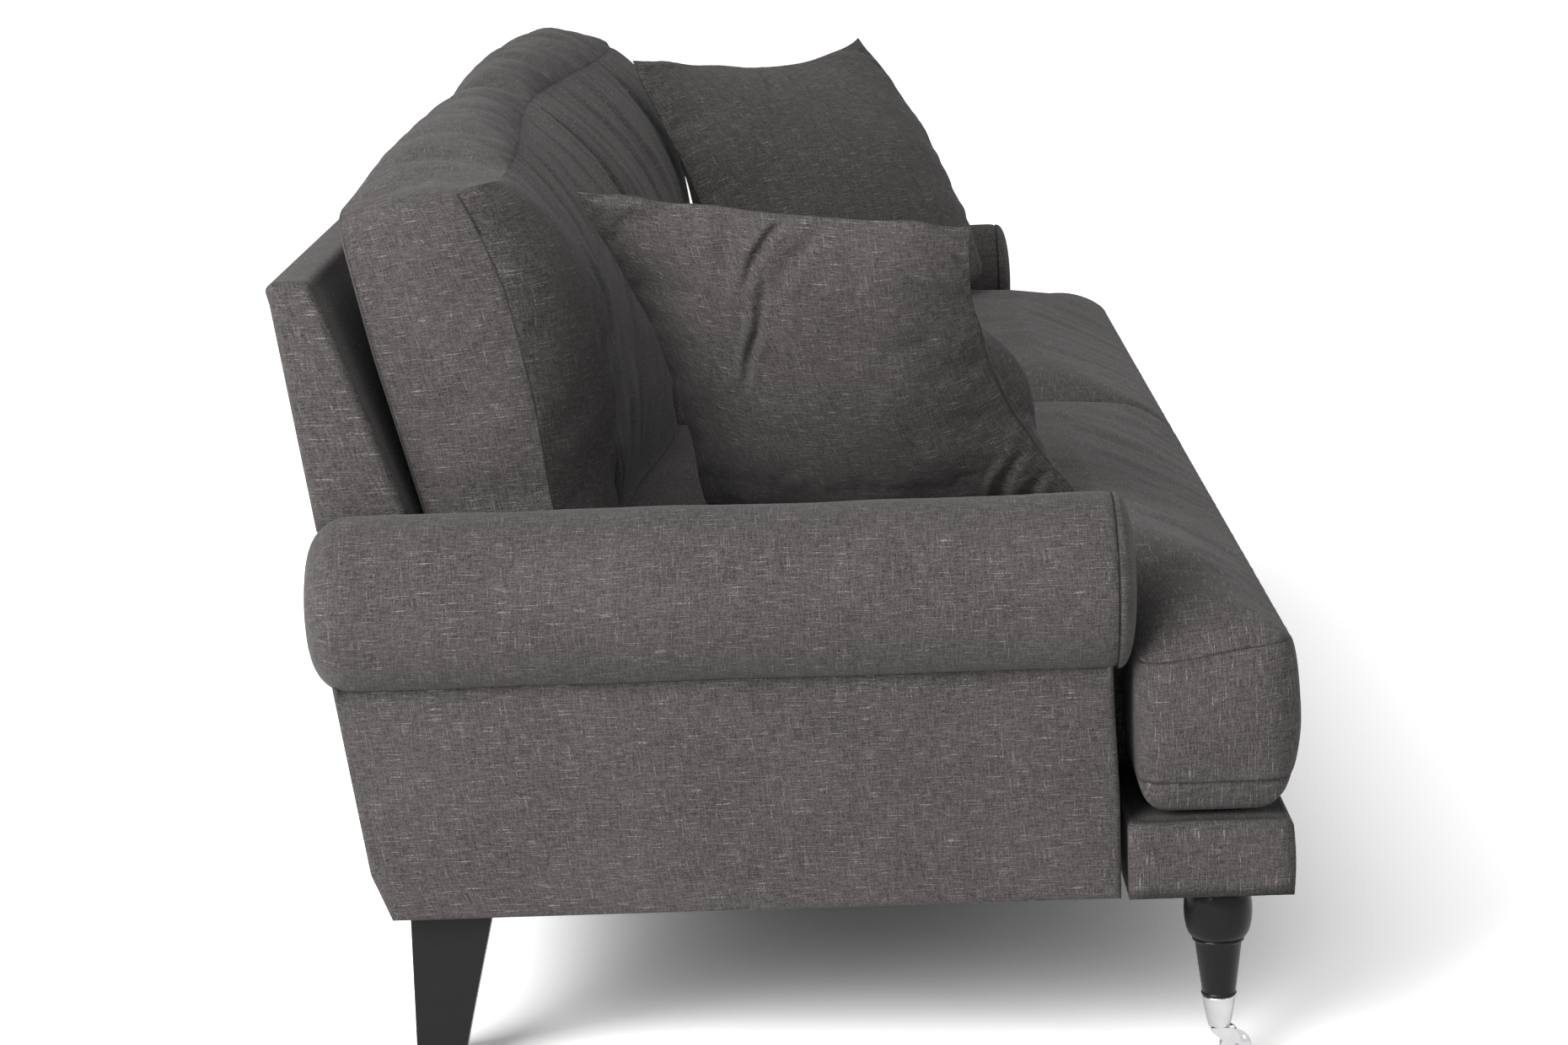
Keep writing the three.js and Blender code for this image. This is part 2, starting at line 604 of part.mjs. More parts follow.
// Seat cushions: boxed, with an ear that reaches round the front of the arm.
function addSeatCushions() {
  const {
    inner, armGap, earOverhang, front, earRear, rear, rearLean, lowSeam, highSeam, frontSeam, crown,
    underCrown, earSag, earDroop, earDroopReach,
  } = seatCushion;
  const armSide = armInner - armGap;
  const earEnd = panelHalf + earOverhang;
  const us = [
    inner, ...spread(inner + seamRow, armSide - seamRow, 10), ...spread(armSide, earEnd - seamRow, 3), earEnd,
  ];
  const vs = [
    front, ...spread(front + seamRow, earRear - seamRow, 3), ...spread(earRear, seatRest.to, 6),
    ...spread(seatRest.to, rear - seamRow, 3).slice(1), rear,
  ];
  const holds = (u, v) => u < armSide || v < earRear;
  const toSeam = (u, v) => Math.min(
    v - front, (rear - v) * seatRearFirmShare, u - inner, earEnd - u,
    seatArmFirmShare * Math.hypot(Math.max(armSide - u, 0), Math.max(earRear - v, 0)));
  const place = (u, v, face, out) => {
    const bulge = face !== 0 ? 0 : u > armSide && out.y > 0 ? earRearBulge : borderBulge;
    const x = u + bulge * Math.max(out.x, 0);
    const lean = rearLean * (face + 1) / 2 * smooth(0, rear, v);
    const y = v + lean + bulge * out.y;
    if (face === 0) return new THREE.Vector3(x, y, (lowSeam + highSeam) / 2);
    if (face < 0) {
      const onEar = smooth(seatRest.to, earRear, v) * smooth(armSide, armSide + seatUnderReach, u);
      const sag = underCrown + earSag * onEar;
      return new THREE.Vector3(x, y, lowSeam - sag * stuffed(toSeam(u, v), seatUnderReach));
    }
    const seam = THREE.MathUtils.lerp(frontSeam, highSeam, smooth(front, earRear, v));
    const droop = earDroop * smooth(armSide - earDroopReach, earEnd, u);
    const high = seam + (highSeam + crown - droop - seam) * stuffed(toSeam(u, v), seatCrownReach);
    const pressed = Math.min(high, seatRestHeight - fitGap);
    return new THREE.Vector3(x, y, THREE.MathUtils.lerp(high, pressed, smooth(seatRest.from, seatRest.to, v)));
  };
  addPair('seat_cushion', cushionGeometry({ us, vs, holds, place, boxed: true }), CLOTH);
}

// Back cushions: boxed and leaning, full low down in front, flat where they stand on the seat. The
// front top seam bows forward, most of all near the outer end, and the top is domed between seams.
function backCushionGeometry({ crown, seamBow, topLift, endDroop }) {
  const {
    inner, armGap, rearGap, rearTop, frontFoot, frontTop, rearTopHeight, frontTopHeight, rearCrown,
    reach, endBulge,
  } = backCushion;
  const end = armInner - armGap;
  const foot = seatRestHeight;
  const height = frontTopHeight - foot;
  const place = (u, v, face, out) => {
    const across = Math.sin(Math.PI * (u - inner) / (end - inner));
    const toEnd = Math.min(u - inner, end - u);
    const bowed = stuffed(end - u, seamBowReach.end) * smooth(0, seamBowReach.inner, u);
    const bow = seamBow * bowed * v * smooth(0, 1, v);
    const bulge = crown * stuffed(Math.min(toEnd, (1 - v) * height), reach) + bow;
    const rearBulge = rearCrown * stuffed(Math.min(toEnd, v * height, (1 - v) * height), reach);
    const rearY = THREE.MathUtils.lerp(backFaceAt(foot) - rearGap, rearTop, v) + rearBulge;
    const frontY = THREE.MathUtils.lerp(frontFoot, frontTop, v) - bulge;
    const rearZ = THREE.MathUtils.lerp(foot, rearTopHeight, v);
    const frontZ = THREE.MathUtils.lerp(foot, frontTopHeight, v);
    const share = (face + 1) / 2;
    const crest = topLift * stuffed(Math.min(u - inner, end - endDroop - u), topLiftReach);
    const lift = { [-1]: backRearLift * across, 0: crest, 1: 0 }[face];
    return new THREE.Vector3(
      u + (face === 0 ? endBulge * Math.max(out.x, 0) : 0),
      THREE.MathUtils.lerp(rearY, frontY, share),
      THREE.MathUtils.lerp(rearZ, frontZ, share) + lift * smooth(0.6, 1, v));
  };
  const us = spread(inner, end, 12);
  const vs = spread(0, 1, 8);
  return cushionGeometry({ us, vs, holds: () => true, place, boxed: true });
}

function addBackCushions() {
  addPart(body, 'back_cushion_right', backCushionGeometry(backFullness.right), CLOTH);
  addPart(body, 'back_cushion_left', mirrored(backCushionGeometry(backFullness.left)), CLOTH);
}

// The clear height between a shape and what lies straight below its corners.
function clearHeight(geometry, below) {
  const down = new THREE.Raycaster();
  const straightDown = new THREE.Vector3(0, 0, -1);
  const corner = new THREE.Vector3();
  const position = geometry.attributes.position;
  let clear = Infinity;
  for (let i = 0; i < position.count; i += 1) {
    down.set(corner.fromBufferAttribute(position, i), straightDown);
    for (const hit of down.intersectObject(below)) clear = Math.min(clear, hit.distance);
  }
  return clear;
}

// Scatter cushions: knife edged, with pointed corners. Each is given by its four corners, whose
// sideways places are shares of the room beside the middle, and by how far each side bows in
// halfway along it. The foot swells out instead, because the cushion stands on it on the seat.
function addScatterCushion(name, size, seatName) {
  const corner = (which) => new THREE.Vector3(
    size[`${which}Share`] * armInner, size[`${which}Depth`], size[`${which}Height`]);
  const [a, b, c, d] = [corner('rearHead'), corner('frontHead'), corner('frontFoot'), corner('rearFoot')];
  const along = b.clone().add(c).sub(a).sub(d).normalize();
  const tall = a.clone().add(b).sub(c).sub(d);
  tall.addScaledVector(along, -tall.dot(along)).normalize();
  const outward = along.clone().cross(tall);
  const place = (u, v, face) => {
    const foot = d.clone().lerp(c, (1 + u) / 2);
    const head = a.clone().lerp(b, (1 + u) / 2);
    const sagged = v + scatterSagShare * (1 - v * v);
    const puff = (Math.cos(Math.PI / 2 * u) * Math.cos(Math.PI / 2 * sagged)) ** CROWN_POWER_SHARE;
    return foot.lerp(head, (1 + v) / 2)
      .addScaledVector(along, -u * (1 - v * v) * (u > 0 ? size.frontBow : size.rearBow))
      .addScaledVector(tall, -v * (1 - u * u) * (v > 0 ? size.headBow : size.footBow))
      .addScaledVector(outward, face * scatterHalfThick * puff);
  };
  const lines = spread(-1, 1, 14).map((t) => (
    Math.sin(t * Math.PI / 2 * scatterFlatShare) / Math.sin(Math.PI / 2 * scatterFlatShare)));
  const geometry = cushionGeometry({ us: lines, vs: lines, holds: () => true, place, boxed: false });
  geometry.translate(0, 0, overallWidth);
  const seat = new THREE.Mesh(body.getObjectByName(seatName).geometry);
  geometry.translate(0, 0, fitGap - clearHeight(geometry, seat));
  addPart(body, name, geometry, CLOTH);
}

function addScatterCushions() {
  addScatterCushion('scatter_cushion_left', scatterLeft, 'seat_cushion_left');
  addScatterCushion('scatter_cushion_right', scatterRight, 'seat_cushion_right');
}

addSeatFrame();
addLegBlocks();
addSprings();
addDeckAndLining();
addFrontBorder();
addArms();
addBack();
addArmBolts();
addRearLegs();
addFrontLegs();
addCastors();
addSeatCushions();
addBackCushions();
addScatterCushions();

// The origin lies on the floor under the middle of the sofa.
const reachBox = new THREE.Box3().setFromObject(sofa, true);
body.position.y -= (reachBox.min.y + reachBox.max.y) / 2;

export default sofa;
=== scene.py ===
# English roll arm sofa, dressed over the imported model: woven charcoal cloth over every padded
# piece, black lacquered legs and polished castors. Metres, the front towards -Y.
import json
import math

import bpy
import numpy as np
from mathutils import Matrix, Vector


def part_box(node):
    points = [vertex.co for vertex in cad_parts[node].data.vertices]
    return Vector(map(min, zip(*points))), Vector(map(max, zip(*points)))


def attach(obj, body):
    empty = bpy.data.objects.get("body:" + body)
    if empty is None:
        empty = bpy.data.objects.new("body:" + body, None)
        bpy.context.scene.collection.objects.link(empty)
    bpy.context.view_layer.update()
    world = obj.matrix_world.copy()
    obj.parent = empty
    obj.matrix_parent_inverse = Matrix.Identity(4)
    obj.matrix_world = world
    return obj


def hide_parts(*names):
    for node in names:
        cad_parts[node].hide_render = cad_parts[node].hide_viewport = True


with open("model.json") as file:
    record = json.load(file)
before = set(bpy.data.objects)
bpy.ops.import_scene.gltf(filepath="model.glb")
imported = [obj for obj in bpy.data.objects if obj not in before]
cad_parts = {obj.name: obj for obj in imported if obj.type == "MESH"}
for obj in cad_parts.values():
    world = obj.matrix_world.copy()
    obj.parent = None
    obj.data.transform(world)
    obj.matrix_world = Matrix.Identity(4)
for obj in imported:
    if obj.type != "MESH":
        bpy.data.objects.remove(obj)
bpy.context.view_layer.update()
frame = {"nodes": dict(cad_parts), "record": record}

# The room: a camera level with a sitter's eye beyond the left arm, a pale floor that keeps the
# sofa's soft shadow, a white sky all round, a broad soft lamp above, a large panel on the camera's
# left and a small weak one on its right that glints in the lacquer and the chrome. The floor is
# seen a little paler than it lights the sofa.
CAMERA_SPOT, CAMERA_LENS, CAMERA_FILM = (-4.361, -0.0207, 1.1975), 84.0, 36.0
CAMERA_DIP, CAMERA_TURN = 11.42, 0.298
scene = bpy.context.scene
scene.view_settings.view_transform = "Standard"
camera_data = bpy.data.cameras.new("camera")
camera_data.lens = CAMERA_LENS
camera_data.sensor_width = CAMERA_FILM
camera = bpy.data.objects.new("camera", camera_data)
camera.location = CAMERA_SPOT
camera.rotation_euler = (math.radians(90 - CAMERA_DIP), 0, math.radians(-90 + CAMERA_TURN))
scene.collection.objects.link(camera)
scene.camera = camera


def node(tree, kind, place, **settings):
    """A shader node at a column and row of the sheet, with its plain values set by name."""
    made = tree.nodes.new(kind)
    made.location = (place[0] * 200, place[1] * 200)
    for key, value in settings.items():
        setattr(made, key, value)
    return made


def join(tree, source, target):
    """Feeds one socket into another."""
    tree.links.new(source, target)


def plain_material(name):
    """An empty material with its output and a Principled shader, returned with its node tree."""
    made = bpy.data.materials.new(name)
    made.use_nodes = True
    made.node_tree.nodes.clear()
    shader = node(made.node_tree, "ShaderNodeBsdfPrincipled", (4, 0))
    output = node(made.node_tree, "ShaderNodeOutputMaterial", (6, 0))
    join(made.node_tree, shader.outputs["BSDF"], output.inputs["Surface"])
    return made, made.node_tree, shader


SKY_LIGHT, SKY_SEEN = 0.44, 1.0
LAMP_LIGHT, LAMP_SPREAD, LAMP_WAY = 1.6, 60, np.array([-0.45, 0.36, 0.82])
sky = bpy.data.worlds.new("studio")
scene.world = sky
sky.use_nodes = True
sky.node_tree.nodes.clear()
seen = node(sky.node_tree, "ShaderNodeLightPath", (0, 0))
either = node(sky.node_tree, "ShaderNodeMath", (1, 0), operation="MAXIMUM")
every = node(sky.node_tree, "ShaderNodeMath", (2, 0), operation="MAXIMUM")
strength = node(sky.node_tree, "ShaderNodeMapRange", (3, 0))
strength.inputs["To Min"].default_value = SKY_LIGHT
strength.inputs["To Max"].default_value = SKY_SEEN
backdrop = node(sky.node_tree, "ShaderNodeBackground", (4, 0))
backdrop.inputs["Color"].default_value = (1, 1, 1, 1)
sky_out = node(sky.node_tree, "ShaderNodeOutputWorld", (5, 0))
join(sky.node_tree, seen.outputs["Is Camera Ray"], either.inputs[0])
join(sky.node_tree, seen.outputs["Is Glossy Ray"], either.inputs[1])
join(sky.node_tree, either.outputs[0], every.inputs[0])
join(sky.node_tree, seen.outputs["Is Transmission Ray"], every.inputs[1])
join(sky.node_tree, every.outputs[0], strength.inputs["Value"])
join(sky.node_tree, strength.outputs["Result"], backdrop.inputs["Strength"])
join(sky.node_tree, backdrop.outputs["Background"], sky_out.inputs["Surface"])

lamp_data = bpy.data.lights.new("lamp", "SUN")
lamp_data.energy = LAMP_LIGHT
lamp_data.angle = math.radians(LAMP_SPREAD)
lamp = bpy.data.objects.new("lamp", lamp_data)
lamp.rotation_euler = (math.atan2(math.hypot(*LAMP_WAY[:2]), LAMP_WAY[2]), 0,
                       math.atan2(-LAMP_WAY[1], -LAMP_WAY[0]) - math.pi / 2)
scene.collection.objects.link(lamp)


def soft_panel(name, spot, aim, wide, tall, power):
    """A rectangular soft light at a spot, turned to its aim."""
    data = bpy.data.lights.new(name, "AREA")
    data.shape = "RECTANGLE"
    data.size, data.size_y, data.energy = wide, tall, power
    made = bpy.data.objects.new(name, data)
    reach = np.array(aim) - np.array(spot)
    made.location = spot
    made.rotation_euler = (math.atan2(math.hypot(*reach[:2]), -reach[2]), 0,
                           math.atan2(reach[1], reach[0]) - math.pi / 2)
    scene.collection.objects.link(made)


soft_panel("high_panel", spot=(-3.6, 2.4, 2.1), aim=(-0.6, 0.0, 0.5), wide=2.6, tall=2.0, power=232)
soft_panel("side_panel", spot=(-3.0, -2.9, 1.5), aim=(-1.03, -0.40, 0.12), wide=0.5, tall=0.9, power=4)

FLOOR_REACH, FLOOR_LIT, FLOOR_SEEN = 30, 0.90, 1.36
floor_mesh = bpy.data.meshes.new("floor")
floor_mesh.from_pydata([(-FLOOR_REACH, -FLOOR_REACH, 0), (FLOOR_REACH, -FLOOR_REACH, 0),
                        (FLOOR_REACH, FLOOR_REACH, 0), (-FLOOR_REACH, FLOOR_REACH, 0)],
                       [], [(0, 1, 2, 3)])
floor = bpy.data.objects.new("floor", floor_mesh)
scene.collection.objects.link(floor)
floor_paint, tree, shader = plain_material("pale_floor")
seen = node(tree, "ShaderNodeLightPath", (0, 0))
paler = node(tree, "ShaderNodeMix", (1, 0), data_type="RGBA")
paler.inputs[6].default_value = (FLOOR_LIT, FLOOR_LIT, FLOOR_LIT, 1)
paler.inputs[7].default_value = (FLOOR_SEEN, FLOOR_SEEN, FLOOR_SEEN, 1)
join(tree, seen.outputs["Is Camera Ray"], paler.inputs[0])
join(tree, paler.outputs[2], shader.inputs["Base Color"])
shader.inputs["Roughness"].default_value = 1.0
shader.inputs["Specular IOR Level"].default_value = 0.0
floor.data.materials.append(floor_paint)

# Charcoal cloth: a fine plain weave of uneven yarns, dark and light by turns, with thin pale slubs
# that run mostly one way. Every padded piece is cut from it, and its pattern lies along each
# piece's map, with a thin line of painted shade along the sewn seams, where the seam grooves
# would be in shade. The counts are waves of the noise to a metre.
YARN_RUN, YARN_FINE, SLUB_RUN, DOT_FINE, GRAIN_FINE = 80, 900, 42, 700, 800
YARN_RANGE, DOT_RANGE, PATCH_RANGE = (0.36, 0.64), (0.44, 0.60), (0.25, 0.75)
WEFT_SLUB_RANGE, WARP_SLUB_RANGE = (0.65, 0.82), (0.68, 0.84)
WEFT_SHARE, LINE_SHARE, PATCH_SHARE, WARP_SLUB_SHARE, DOT_SHARE = 0.55, 0.55, 0.12, 0.6, 0.85
CLOTH_DARK = (0.0155, 0.0143, 0.0139, 1)
CLOTH_LIGHT = (0.0885, 0.0815, 0.0793, 1)
CLOTH_SLUB = (0.18, 0.166, 0.159, 1)
# The first value is how dark the painted seam shade makes the cloth.
PAINTED_SEAM_SHADE, YARN_RELIEF = 0.42, 0.0004
CLOTH_ROUGH, PALE_ROUGH_DROP, CLOTH_SPECULAR, CLOTH_SHEEN = 0.98, 0.12, 0.1, 0.06


def woven_group(name):
    """Yarns by stretched noise: long along the yarn and one yarn wide across it, once each way.
    Slubs are the high peaks of such noise, broken into dots where the other yarns cross them."""
    tree = bpy.data.node_groups.new(name, "ShaderNodeTree")
    face = tree.interface
    face.new_socket("Cloth", in_out="INPUT", socket_type="NodeSocketVector")
    for label in ("Dark", "Light", "Slub"):
        face.new_socket(label, in_out="INPUT", socket_type="NodeSocketColor")
    face.new_socket("Seam", in_out="INPUT", socket_type="NodeSocketFloat")
    face.new_socket("Color", in_out="OUTPUT", socket_type="NodeSocketColor")
    face.new_socket("Height", in_out="OUTPUT", socket_type="NodeSocketFloat")
    face.new_socket("Roughness", in_out="OUTPUT", socket_type="NodeSocketFloat")
    enter = node(tree, "NodeGroupInput", (0, 0))
    leave = node(tree, "NodeGroupOutput", (12, 0))

    def streaks(row, scale, shift, middle, detail=1.0):
        """Noise stretched by a scale each way, and shifted so that no two are alike, with its
        middle range opened out to 0 and 1."""
        turn = node(tree, "ShaderNodeMapping", (1, row))
        turn.inputs["Scale"].default_value = (*scale, 1)
        turn.inputs["Location"].default_value = (shift, shift * 0.37, shift)
        noise = node(tree, "ShaderNodeTexNoise", (2, row))
        noise.inputs["Scale"].default_value = 1.0
        noise.inputs["Detail"].default_value = detail
        noise.inputs["Roughness"].default_value = 0.6
        spread = node(tree, "ShaderNodeMapRange", (3, row), interpolation_type="SMOOTHSTEP")
        spread.inputs["From Min"].default_value = middle[0]
        spread.inputs["From Max"].default_value = middle[1]
        join(tree, enter.outputs["Cloth"], turn.inputs["Vector"])
        join(tree, turn.outputs["Vector"], noise.inputs["Vector"])
        join(tree, noise.outputs[0], spread.inputs["Value"])
        return spread.outputs["Result"]

    def sum_of(place, operation, first, second, third=None):
        """One Math node on sockets or plain numbers."""
        made = node(tree, "ShaderNodeMath", place, operation=operation)
        for k, value in enumerate((first, second, third)):
            if value is None:
                continue
            if isinstance(value, (int, float)):
                made.inputs[k].default_value = value
            else:
                join(tree, value, made.inputs[k])
        return made.outputs[0]

    weft = streaks(4, (YARN_RUN, YARN_FINE), 3.1, YARN_RANGE)
    warp = streaks(3, (YARN_FINE, YARN_RUN), 7.7, YARN_RANGE)
    grain = streaks(2, (GRAIN_FINE, YARN_FINE), 11.3, YARN_RANGE)
    slub_weft = streaks(0, (SLUB_RUN, YARN_FINE), 23.9, WEFT_SLUB_RANGE, 0.0)
    slub_warp = streaks(-1, (YARN_FINE, SLUB_RUN), 31.7, WARP_SLUB_RANGE, 0.0)
    dots = streaks(-2, (DOT_FINE, DOT_FINE), 41.3, DOT_RANGE, 0.0)
    patches = streaks(-3, (7, 9), 53.1, PATCH_RANGE, 2.0)

    def blend_of(column, row, first, share, second):
        """A share of one value and the rest of another."""
        rest = sum_of((column - 1, row - 1), "MULTIPLY", second, 1 - share)
        return sum_of((column, row), "MULTIPLY_ADD", first, share, rest)

    lines = blend_of(5, 4, weft, WEFT_SHARE, warp)
    yarns = blend_of(6, 4, lines, LINE_SHARE, grain)
    shade = blend_of(7, 3, yarns, 1 - PATCH_SHARE, patches)
    blend = node(tree, "ShaderNodeMix", (8, 2), data_type="RGBA")
    join(tree, shade, blend.inputs[0])
    join(tree, enter.outputs["Dark"], blend.inputs[6])
    join(tree, enter.outputs["Light"], blend.inputs[7])

    slub = sum_of((5, 0), "MULTIPLY_ADD", slub_warp, WARP_SLUB_SHARE, slub_weft)
    crossed = sum_of((5, -1), "MULTIPLY_ADD", dots, DOT_SHARE, 1 - DOT_SHARE)
    dotted = sum_of((6, 0), "MULTIPLY", slub, crossed)
    limited = sum_of((7, 0), "MINIMUM", dotted, 1.0)
    over = node(tree, "ShaderNodeMix", (9, 1), data_type="RGBA")
    join(tree, limited, over.inputs[0])
    join(tree, blend.outputs[2], over.inputs[6])
    join(tree, enter.outputs["Slub"], over.inputs[7])
    # Painted shade: the colour is multiplied darker along the seams by the seam mark, for the shade that
    # falls in the seam grooves.
    seam_and_painted_shade = node(tree, "ShaderNodeMix", (10, 1), data_type="RGBA", blend_type="MULTIPLY")
    seam_and_painted_shade.inputs[7].default_value = (PAINTED_SEAM_SHADE, PAINTED_SEAM_SHADE, PAINTED_SEAM_SHADE, 1)
    join(tree, enter.outputs["Seam"], seam_and_painted_shade.inputs[0])
    join(tree, over.outputs[2], seam_and_painted_shade.inputs[6])
    join(tree, seam_and_painted_shade.outputs[2], leave.inputs["Color"])

    height = sum_of((9, -1), "MULTIPLY_ADD", limited, 0.5, yarns)
    join(tree, height, leave.inputs["Height"])
    rough = sum_of((9, -2), "MULTIPLY_ADD", shade, -PALE_ROUGH_DROP, CLOTH_ROUGH)
    join(tree, rough, leave.inputs["Roughness"])
    return tree


woven = woven_group("woven_yarns")
cloth, tree, shader = plain_material("charcoal_cloth")
way = node(tree, "ShaderNodeUVMap", (0, 0), uv_map="cloth")
# The seam mark sets where the cloth's colour is darkened with painted seam shade.
seam_shade_mark = node(tree, "ShaderNodeAttribute", (0, -1), attribute_name="seam")
weave = node(tree, "ShaderNodeGroup", (1, 0), node_tree=woven)
weave.inputs["Dark"].default_value = CLOTH_DARK
weave.inputs["Light"].default_value = CLOTH_LIGHT
weave.inputs["Slub"].default_value = CLOTH_SLUB
bump = node(tree, "ShaderNodeBump", (3, -1))
bump.inputs["Strength"].default_value = 0.5
bump.inputs["Distance"].default_value = YARN_RELIEF
join(tree, way.outputs["UV"], weave.inputs["Cloth"])
join(tree, seam_shade_mark.outputs["Fac"], weave.inputs["Seam"])
join(tree, weave.outputs["Color"], shader.inputs["Base Color"])
join(tree, weave.outputs["Roughness"], shader.inputs["Roughness"])
join(tree, weave.outputs["Height"], bump.inputs["Height"])
join(tree, bump.outputs["Normal"], shader.inputs["Normal"])
shader.inputs["Specular IOR Level"].default_value = CLOTH_SPECULAR
shader.inputs["Sheen Weight"].default_value = CLOTH_SHEEN
shader.inputs["Sheen Roughness"].default_value = 0.5

# Arms: a padded flat-sided body of boards, a round roll laid along its hollow top, and a domed
# facing pad tacked over the roll's front end. The cloth is pulled tight over all three and is
# tucked in where the roll meets the side.
# The body leans back as one piece, so its sizes are taken along and square to its underside. A
# leg bolt of the frame, whose place on the body is known, tells how the body stands.
LEAN = math.radians(1.95)
BOLT = (1.029, -0.3935, 0.003)
bolt_low, bolt_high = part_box("front_leg_bolt_right")
bolt_y = (bolt_low[1] + bolt_high[1]) / 2
bolt_z = (bolt_low[2] + bolt_high[2]) / 2
BODY_Y = bolt_y - (BOLT[1] * math.cos(LEAN) + BOLT[2] * math.sin(LEAN))
BODY_Z = bolt_z - (BOLT[2] * math.cos(LEAN) - BOLT[1] * math.sin(LEAN))
PANEL_X, ARM_INNER_X = 1.089, 0.966
ROLL_X, ROLL_Z, ROLL_R = 1.048, 0.296, 0.082
ARM_FRONT, ROLL_REAR, ROLL_DOME = -0.298, 0.409, 0.040
PANEL_TOP, PANEL_LONG, PANEL_ROUND = 0.271, 0.72, 0.006
PANEL_SWELL, PANEL_UNEVEN, PANEL_TUCK, PANEL_SLOPE = 0.0035, 0.0007, 0.014, 0.004
PANEL_SLOPE_AT, PANEL_TUCK_AT = (0.08, 0.22), (0.200, 0.234)
PANEL_WAVES, ROLL_WAVES = (0.16, 0.34), (0.11, 0.23)
PANEL_REAR = ([0, 0.034, 0.044, 0.225, 0.30], [0.383, 0.3965, 0.401, 0.427, 0.430])
ROLL_UNEVEN, ROLL_SEAM_DIP, ROLL_DIP_RUN = 0.0009, 0.0028, 0.0035
FACING_PROUD, FACING_GAP, FACING_TUCK, FACING_SINK = 0.0195, 0.0005, 0.0026, 0.0004
ROUND_SIDES = 112
SLOTS = {part["node"]: part["material_slot"] for part in frame["record"]["subparts"]}
SIDES = ((1, "right"), (-1, "left"))


def stand(points):
    """Body sizes to the room: turned back by the lean about X, then raised to the body's height."""
    x, y, z = points[..., 0], points[..., 1], points[..., 2]
    return np.stack([x, BODY_Y + y * math.cos(LEAN) + z * math.sin(LEAN),
                     BODY_Z - y * math.sin(LEAN) + z * math.cos(LEAN)], -1)


def body_sizes(points):
    """The room's points back to body sizes, with X taken on the right side."""
    y, z = points[:, 1] - BODY_Y, points[:, 2] - BODY_Z
    return (np.abs(points[:, 0]), y * math.cos(LEAN) - z * math.sin(LEAN),
            y * math.sin(LEAN) + z * math.cos(LEAN))


def make_piece(name, form, body, node_names, side=1, material=cloth):
    """A mesh from a form, which is its points, faces of four or three corners, map per corner and
    seam mark per point, mirrored across X for the left side. It rides on a body of the model and
    stands for the nodes named. A face of three corners repeats its last one."""
    points, faces, maps, seams = form
    points = np.array(points, float)
    corners = np.where(faces[:, 2] == faces[:, 3], 3, 4)
    if side < 0:
        points[:, 0] *= -1
        turned = np.where(corners[:, None] == 4, [3, 2, 1, 0], [2, 1, 0, 0])
        faces = np.take_along_axis(faces, turned, 1)
        maps = np.take_along_axis(maps, turned[..., None], 1)
    kept = np.arange(4)[None, :] < corners[:, None]
    used, renumbered = np.unique(faces[kept], return_inverse=True)
    starts = np.concatenate([[0], np.cumsum(corners)[:-1]])
    mesh = bpy.data.meshes.new(name)
    mesh.vertices.add(len(used))
    mesh.vertices.foreach_set("co", stand(points[used]).astype(np.float32).ravel())
    mesh.loops.add(len(renumbered))
    mesh.loops.foreach_set("vertex_index", renumbered.astype(np.int32).ravel())
    mesh.polygons.add(len(faces))
    mesh.polygons.foreach_set("loop_start", starts.astype(np.int32))
    mesh.polygons.foreach_set("use_smooth", np.ones(len(faces), bool))
    mesh.update(calc_edges=True)
    layer = mesh.uv_layers.new(name="cloth")
    layer.data.foreach_set("uv", maps[kept].astype(np.float32).ravel())
    # The seam mark is kept as an attribute, which the cloth uses to paint shade along the seams.
    mark = mesh.attributes.new("seam", "FLOAT", "POINT")
    mark.data.foreach_set("value", np.asarray(seams, np.float32)[used])
    mesh.materials.append(material)
    made = bpy.data.objects.new(name, mesh)
    scene.collection.objects.link(made)
    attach(made, body)
    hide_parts(*node_names)
    return made


RIPPLE_WAVES, RIPPLE_SPREAD, RIPPLE_HEIGHT = 6, (0.7, 1.4), 2.5


def ripple(seed, sizes, *places):
    """A smooth uneven field of about -1 to 1: a sum of cosine waves in random directions, with
    RIPPLE_WAVES of them about each size, divided by the height that such a sum reaches."""
    dice = np.random.default_rng(seed)
    total = np.zeros_like(places[0], dtype=float)
    for size in sizes:
        for _ in range(RIPPLE_WAVES):
            angle, phase = dice.uniform(0, 2 * np.pi, 2)
            across = places[0] * np.cos(angle)
            if len(places) > 1:
                across = across + places[1] * np.sin(angle)
            total += np.cos(2 * np.pi * across / (size * dice.uniform(*RIPPLE_SPREAD)) + phase)
    return total / (RIPPLE_HEIGHT * len(sizes))


def ease(start, stop, value):
    """A smooth step from 0 to 1 between two values."""
    t = np.clip((value - start) / (stop - start), 0, 1)
    return t * t * (3 - 2 * t)


def outline_walk(corners):
    """Grid places along a closed outline of (column, row) corners, each run without its end."""
    runs = []
    for start, stop in zip(corners, corners[1:] + corners[:1]):
        count = abs(stop[0] - start[0]) + abs(stop[1] - start[1])
        runs.append(np.linspace(start, stop, count, endpoint=False))
    return np.concatenate(runs).round().astype(int)


LOWER_SHIFT, BORDER_SHIFT = 3.0, 7.0
UPPER, LOWER = 0.999, 0.001


